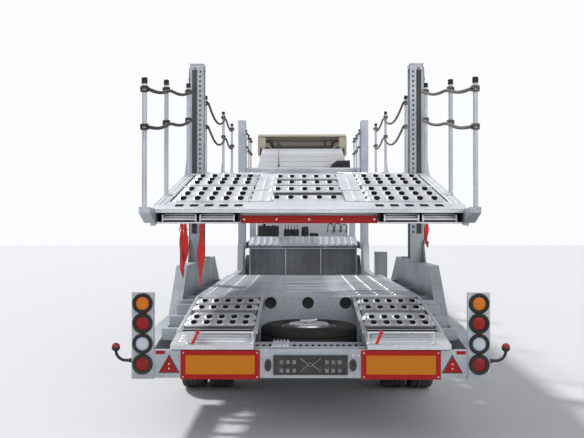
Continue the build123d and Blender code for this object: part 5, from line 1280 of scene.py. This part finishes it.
# Rear wall of the cab: pressed ribs across the upper wall, joints between its panels, and an aerial.
built("rear_wall_ribs", cab_white, "cab", "white_paint", soft=0.003,
      blocks=[((-0.895, 0.635), (14.3335, 14.337), about(h, 0.0125)) for h in (3.050, 3.170, 3.290, 3.410)]
      + [((-1.095, 1.095), (14.3445, 14.350), about(h, 0.006)) for h in (1.35, 2.10, 2.85)])
built("aerial", holder_black, "cab", "black_plastic", rods=[
    ((-0.589, 14.338, 3.165), (-0.589, 14.300, 3.165), 0.024, 16, 0.018),
    ((-0.589, 14.306, 3.150), (-0.589, 14.306, 3.235), 0.016, 14, 0.010),
    ((-0.589, 14.306, 3.235), (-0.589, 14.300, 3.620), 0.0075, 10, 0.0045),
])


# Doors: glass in dark rubber, flush handles, a lower swage line, lining, hinge screws, and rubber in the
# gap round each door.
def rubber_band(outline, section):
    """Rows of a rubber round an outline of station and height; section is how far out of it, and x"""
    middle_t, middle_h = (sum(place) / len(outline) for place in zip(*outline))
    return [[(x, t + (grow if t > middle_t else -grow), h + (grow if h > middle_h else -grow)) for t, h in outline]
            for grow, x in section]


door_end = cab_front - 0.350
door_start = door_end - 0.980
door_top = cab_floor + 0.030 + 1.660
window = [(door_start + 0.110, door_top - 0.850), (door_start + 0.110, door_top - 0.100),
          (door_end - 0.130, door_top - 0.100), (door_end - 0.090, door_top - 0.850)]
gap = [(door_start - 0.002, 1.138), (door_start - 0.002, 2.802), (door_end + 0.002, 2.802), (door_end + 0.002, 1.138)]
arm_start, arm_end = door_start + 0.250, door_start + 0.550
paired("door_glass", glass_grey, "door_", "glass", solids=[plate(window, (1.130, 1.135))])
paired("door_window_rubber", lamp_rubber, "door_", "rubber",
       bands=[rubber_band(window, ((0.030, 1.1495), (0.030, 1.1535), (-0.016, 1.1535), (-0.016, 1.126)))])
paired("door_handle", holder_black, "door_", "black_plastic", soft=0.004,
       blocks=[((1.150, 1.158), (door_start + 0.060, door_start + 0.260), (1.780, 1.850)),
               ((1.150, 1.176), (door_start + 0.085, door_start + 0.235), (1.822, 1.842))])
paired("door_swage", cab_white, "door_", "white_paint", soft=0.003,
       blocks=[((1.1490, 1.1545), (door_start + 0.030, door_end - 0.030), h_span)
               for h_span in ((1.560, 1.585), (1.300, 1.318))])
paired("door_lining", trim_fabric, "door_", "cab_trim", soft=0.006,
       blocks=[((1.085, 1.101), (door_start + 0.120, door_end - 0.120), (1.300, 1.620))],
       rods=[((1.080, arm_start, 1.680), (1.080, arm_end, 1.700), 0.014, 12)]
       + [((1.080, t, 1.690), (1.104, t, 1.690), 0.010, 10) for t in (arm_start, arm_end)])
paired("door_hinge_screws", screw_steel, "door_", "wheel_steel",
       rods=[((1.1725, door_end - 0.036, h), (1.1785, door_end - 0.036, h), 0.007, 6)
             for h in (1.418, 1.442, 2.318, 2.342)])
paired("door_gap_rubber", lamp_rubber, "cab", "rubber",
       bands=[rubber_band(gap, ((0.010, 1.1498), (0.010, 1.1518), (-0.003, 1.1518), (-0.003, 1.1400)))])

# Front of the cab: rubber round the windscreen, wipers, a slatted grille, lamps and the bumper's steps.
screen_low, screen_top = (cab_front - 0.060, 1.992), (cab_front - 0.172, 2.798)
lean = (screen_top[0] - screen_low[0]) / (screen_top[1] - screen_low[1])
built("windscreen_rubber", lamp_rubber, "cab", "rubber", bands=[[
    [(x * half, t + lean * rise * sign + out, h + rise * sign)
     for x, (t, h), sign in ((-1, screen_low, -1), (1, screen_low, -1), (1, screen_top, 1), (-1, screen_top, 1))]
    for half, rise, out in ((1.026, 0.026, 0.004), (1.026, 0.026, 0.012), (0.985, -0.016, 0.012),
                            (0.985, -0.016, -0.020))
]])
wiper_bars = []
for x in (-0.620, 0.0, 0.620):
    wiper_bars += [
        ((x, cab_front - 0.048, 1.945), (x, cab_front - 0.030, 1.945), 0.018, 16),
        ((x, cab_front - 0.040, 1.955), (x + 0.300, cab_front - 0.052, 2.060), 0.008, 10),
        ((x + 0.060, cab_front - 0.050, 2.052), (x + 0.540, cab_front - 0.052, 2.062), 0.007, 8),
    ]
built("wipers", holder_black, "cab", "black_plastic", rods=wiper_bars)
grille_low, slat_pitch = cab_floor - 0.190, 0.0775
built("grille_back", holder_black, "cab", "black_plastic",
      blocks=[((-0.755, 0.755), (cab_front - 0.0245, cab_front - 0.018), about(grille_low + slat_pitch * k, 0.0165))
              for k in range(9)])
built("grille_bars", bumper_grey, "cab", "black_plastic", soft=0.004,
      blocks=[((-0.770, 0.770), (cab_front - 0.002, cab_front + 0.006),
               about(grille_low + slat_pitch * (k + 0.5), 0.017)) for k in range(8)])
lamp_clear = clear_finish("lamp_clear", (0.86, 0.9, 0.92), 0.6, 1.3, 0.03)
bowl = [(0.0, 0.0), (0.030, 0.001), (0.052, 0.008), (0.064, 0.018), (0.070, 0.018), (0.070, -0.001), (0.0, -0.001)]
lamp_t = cab_front + 0.0305
ahead = (0, 1, 0)
paired("headlamp_bowls", mirror_face, "tractor", "wheel_steel",
       rings=[(bowl, (x, lamp_t, 0.605), ahead, 32) for x in (0.860, 1.030)])
paired("headlamp_glass", lamp_clear, "tractor", "glass", soft=0.002,
       blocks=[((0.765, 1.125), (cab_front + 0.044, cab_front + 0.049), (0.525, 0.685))])
paired("fog_lamp", lamp_clear, "tractor", "glass",
       rings=[([(0.0, 0.012), (0.024, 0.010), (0.030, 0.0), (0.0, 0.0)], (0.850, lamp_t, 0.430), ahead, 24)])
paired("turn_lamp", amber, "tractor", "lamp_red", soft=0.004,
       blocks=[((0.905, 0.970), (cab_front + 0.031, cab_front + 0.042), (0.405, 0.455))])
paired("step_treads", rim_silver, "tractor", "wheel_steel", soft=0.001, segments=1,
       blocks=[((0.955, 1.170), about(cab_front - 0.700 + 0.060 * k, 0.006), (low + 0.0005, low + 0.006))
               for low in (0.400, 0.530) for k in range(9)])
built("bumper_grille", holder_black, "tractor", "black_plastic", soft=0.002, segments=1,
      blocks=[(about(-0.600 + 0.120 * k, 0.010), (cab_front + 0.0205, cab_front + 0.034), (0.402, 0.498))
              for k in range(11)])

# Mirrors: glass set into the rear face of each housing, one tall and one wide-angle below it.
mirror_t = cab_front - 0.240 - 0.0605
rim_span = (mirror_t - 0.007, mirror_t + 0.001)
boss_t = cab_front - 0.260
paired("mirror_glass", mirror_face, "cab", "glass", soft=0.0006, segments=1,
       blocks=[((1.218, 1.342), (mirror_t - 0.0015, mirror_t + 0.001), h_span)
               for h_span in ((2.130, 2.470), (1.975, 2.110))])
paired("mirror_rim", holder_black, "cab", "black_plastic", soft=0.002,
       blocks=[(about(x, 0.0045), rim_span, (1.960, 2.492)) for x in (1.2115, 1.3485)]
       + [((1.207, 1.353), rim_span, about(h, 0.0045)) for h in (1.9605, 2.120, 2.4885)])
paired("mirror_bosses", holder_black, "cab", "black_plastic",
       rods=[((1.1495, boss_t, h), (1.158, boss_t, h), 0.034, 24) for h in (2.000, 2.470)])


# Roof deflector: a rolled lip along its rear edge, black curved struts inside, and a small orange lamp.
def add_strut(bm, places, radius, steps=14, rings=14):
    """A round bent bar through points of x, station and height, smoothed between them"""
    line = [Vector((x, tail + t, h)) for x, t, h in places]
    padded = [line[0] * 2 - line[1]] + line + [line[-1] * 2 - line[-2]]
    path = []
    for a, b, c, d in zip(padded, padded[1:], padded[2:], padded[3:]):
        for s in [k / rings for k in range(rings)]:
            path.append(0.5 * ((2 * b) + (c - a) * s + (2 * a - 5 * b + 4 * c - d) * s * s
                               + (3 * b - a - 3 * c + d) * s * s * s))
    path.append(line[-1])
    rows = []
    normal = (path[1] - path[0]).orthogonal().normalized()
    for k, point in enumerate(path):
        forward = (path[min(k + 1, len(path) - 1)] - path[max(k - 1, 0)]).normalized()
        normal = (normal - forward * normal.dot(forward)).normalized()
        across = forward.cross(normal)
        rows.append([point + (normal * cos(m * tau / steps) + across * sin(m * tau / steps)) * radius
                     for m in range(steps)])
    add_surface(bm, rows, ends=True)


rear_t = 14.350 + 0.270
lip_t = rear_t + 0.004
lip_corners = [(-1.124, lip_t, 3.470), (-1.124, lip_t, 3.945), (1.124, lip_t, 3.945), (1.124, lip_t, 3.470)]
built("deflector_lip", deflector_beige, "cab", "beige_paint",
      rods=[(start, end, 0.0125, 12) for start, end in zip(lip_corners, lip_corners[1:])])
strut = ((0.760, 14.690, 3.625), (0.765, 14.688, 3.740), (0.830, 14.680, 3.810), (0.950, 14.670, 3.836),
         (1.080, 14.668, 3.838))
for side, hand in hands:
    bm = bmesh.new()
    add_strut(bm, [(side * x, t, h) for x, t, h in strut], 0.030)
    add_block(bm, (side * 0.715, side * 0.805), (14.660, 14.735), (3.606, 3.628))
    finished_piece(f"deflector_strut_{hand}", bm, holder_black, "cab")
paired("deflector_pod", deflector_beige, "cab", "beige_paint", soft=0.055, segments=5,
       blocks=[((0.925, 1.116), (14.618, 14.900), (3.640, 3.938))])
built("deflector_lamp", amber, "cab", "lamp_red",
      rings=[([(0.0, 0.030), (0.014, 0.026), (0.020, 0.014), (0.021, 0.0), (0.0, 0.0)], (0.880, 14.700, 3.840),
              upright, 20)])
built("deflector_rivets", screw_steel, "cab", "wheel_steel",
      rods=[((-0.9 + 0.3 * k, rear_t - 0.001, 3.962), (-0.9 + 0.3 * k, rear_t + 0.006, 3.962), 0.006, 10)
            for k in range(7)])

# Air intake: a black duct with louvres in its rear face.
built("intake_louvres", holder_black, "cab", "black_plastic", soft=0.002, segments=1,
      blocks=[((0.780, 1.150), (14.1435, 14.1505), (h - 0.004, h + 0.010))
              for h in [3.050 + 0.030 * k for k in range(6)]])

# Tanks and boxes beside the tractor's frame: steel straps, filler cap and the battery box's lid.
section = ((0.560, 0.500), (0.640, 0.400), (1.090, 0.400), (1.180, 0.500), (1.180, 0.890), (1.090, 0.980),
           (0.640, 0.980), (0.560, 0.890))
grown = [(0.870 + (x - 0.870) * 1.012, 0.690 + (h - 0.690) * 1.012) for x, h in section]
straps = [
    [[(side * x, t + dt, h) for x, h in outline]
     for outline, dt in ((section, -0.026), (grown, -0.026), (grown, 0.026), (section, 0.026))]
    for side in sides for t in (12.950, 13.400, 13.850)
]
built("tank_straps", screw_steel, "tractor", "wheel_steel", bands=straps)
built("filler_cap", cap_black, "tractor", "black_plastic", rods=[
    ((-1.130, 13.640, 0.930), (-1.160, 13.640, 0.962), 0.048, 28),
    ((-1.160, 13.640, 0.962), (-1.170, 13.640, 0.973), 0.040, 28, 0.032),
])
built("battery_lid", grey_paint, "tractor", "grey_paint", soft=0.004,
      blocks=[((1.1795, 1.1855), (13.000, 13.800), (0.560, 0.860)),
              ((1.1850, 1.1950), (13.340, 13.460), (0.690, 0.712))])

# Control box on the right side frame: a door with a seam and a latch.
built("control_box_door", grey_paint, slot="grey_paint", soft=0.003,
      blocks=[((1.115, 1.255), (6.5435, 6.5505), (0.840, 1.200))],
      rods=[((1.2400, 6.5405, 1.020), (1.2400, 6.5440, 1.020), 0.012, 16)])
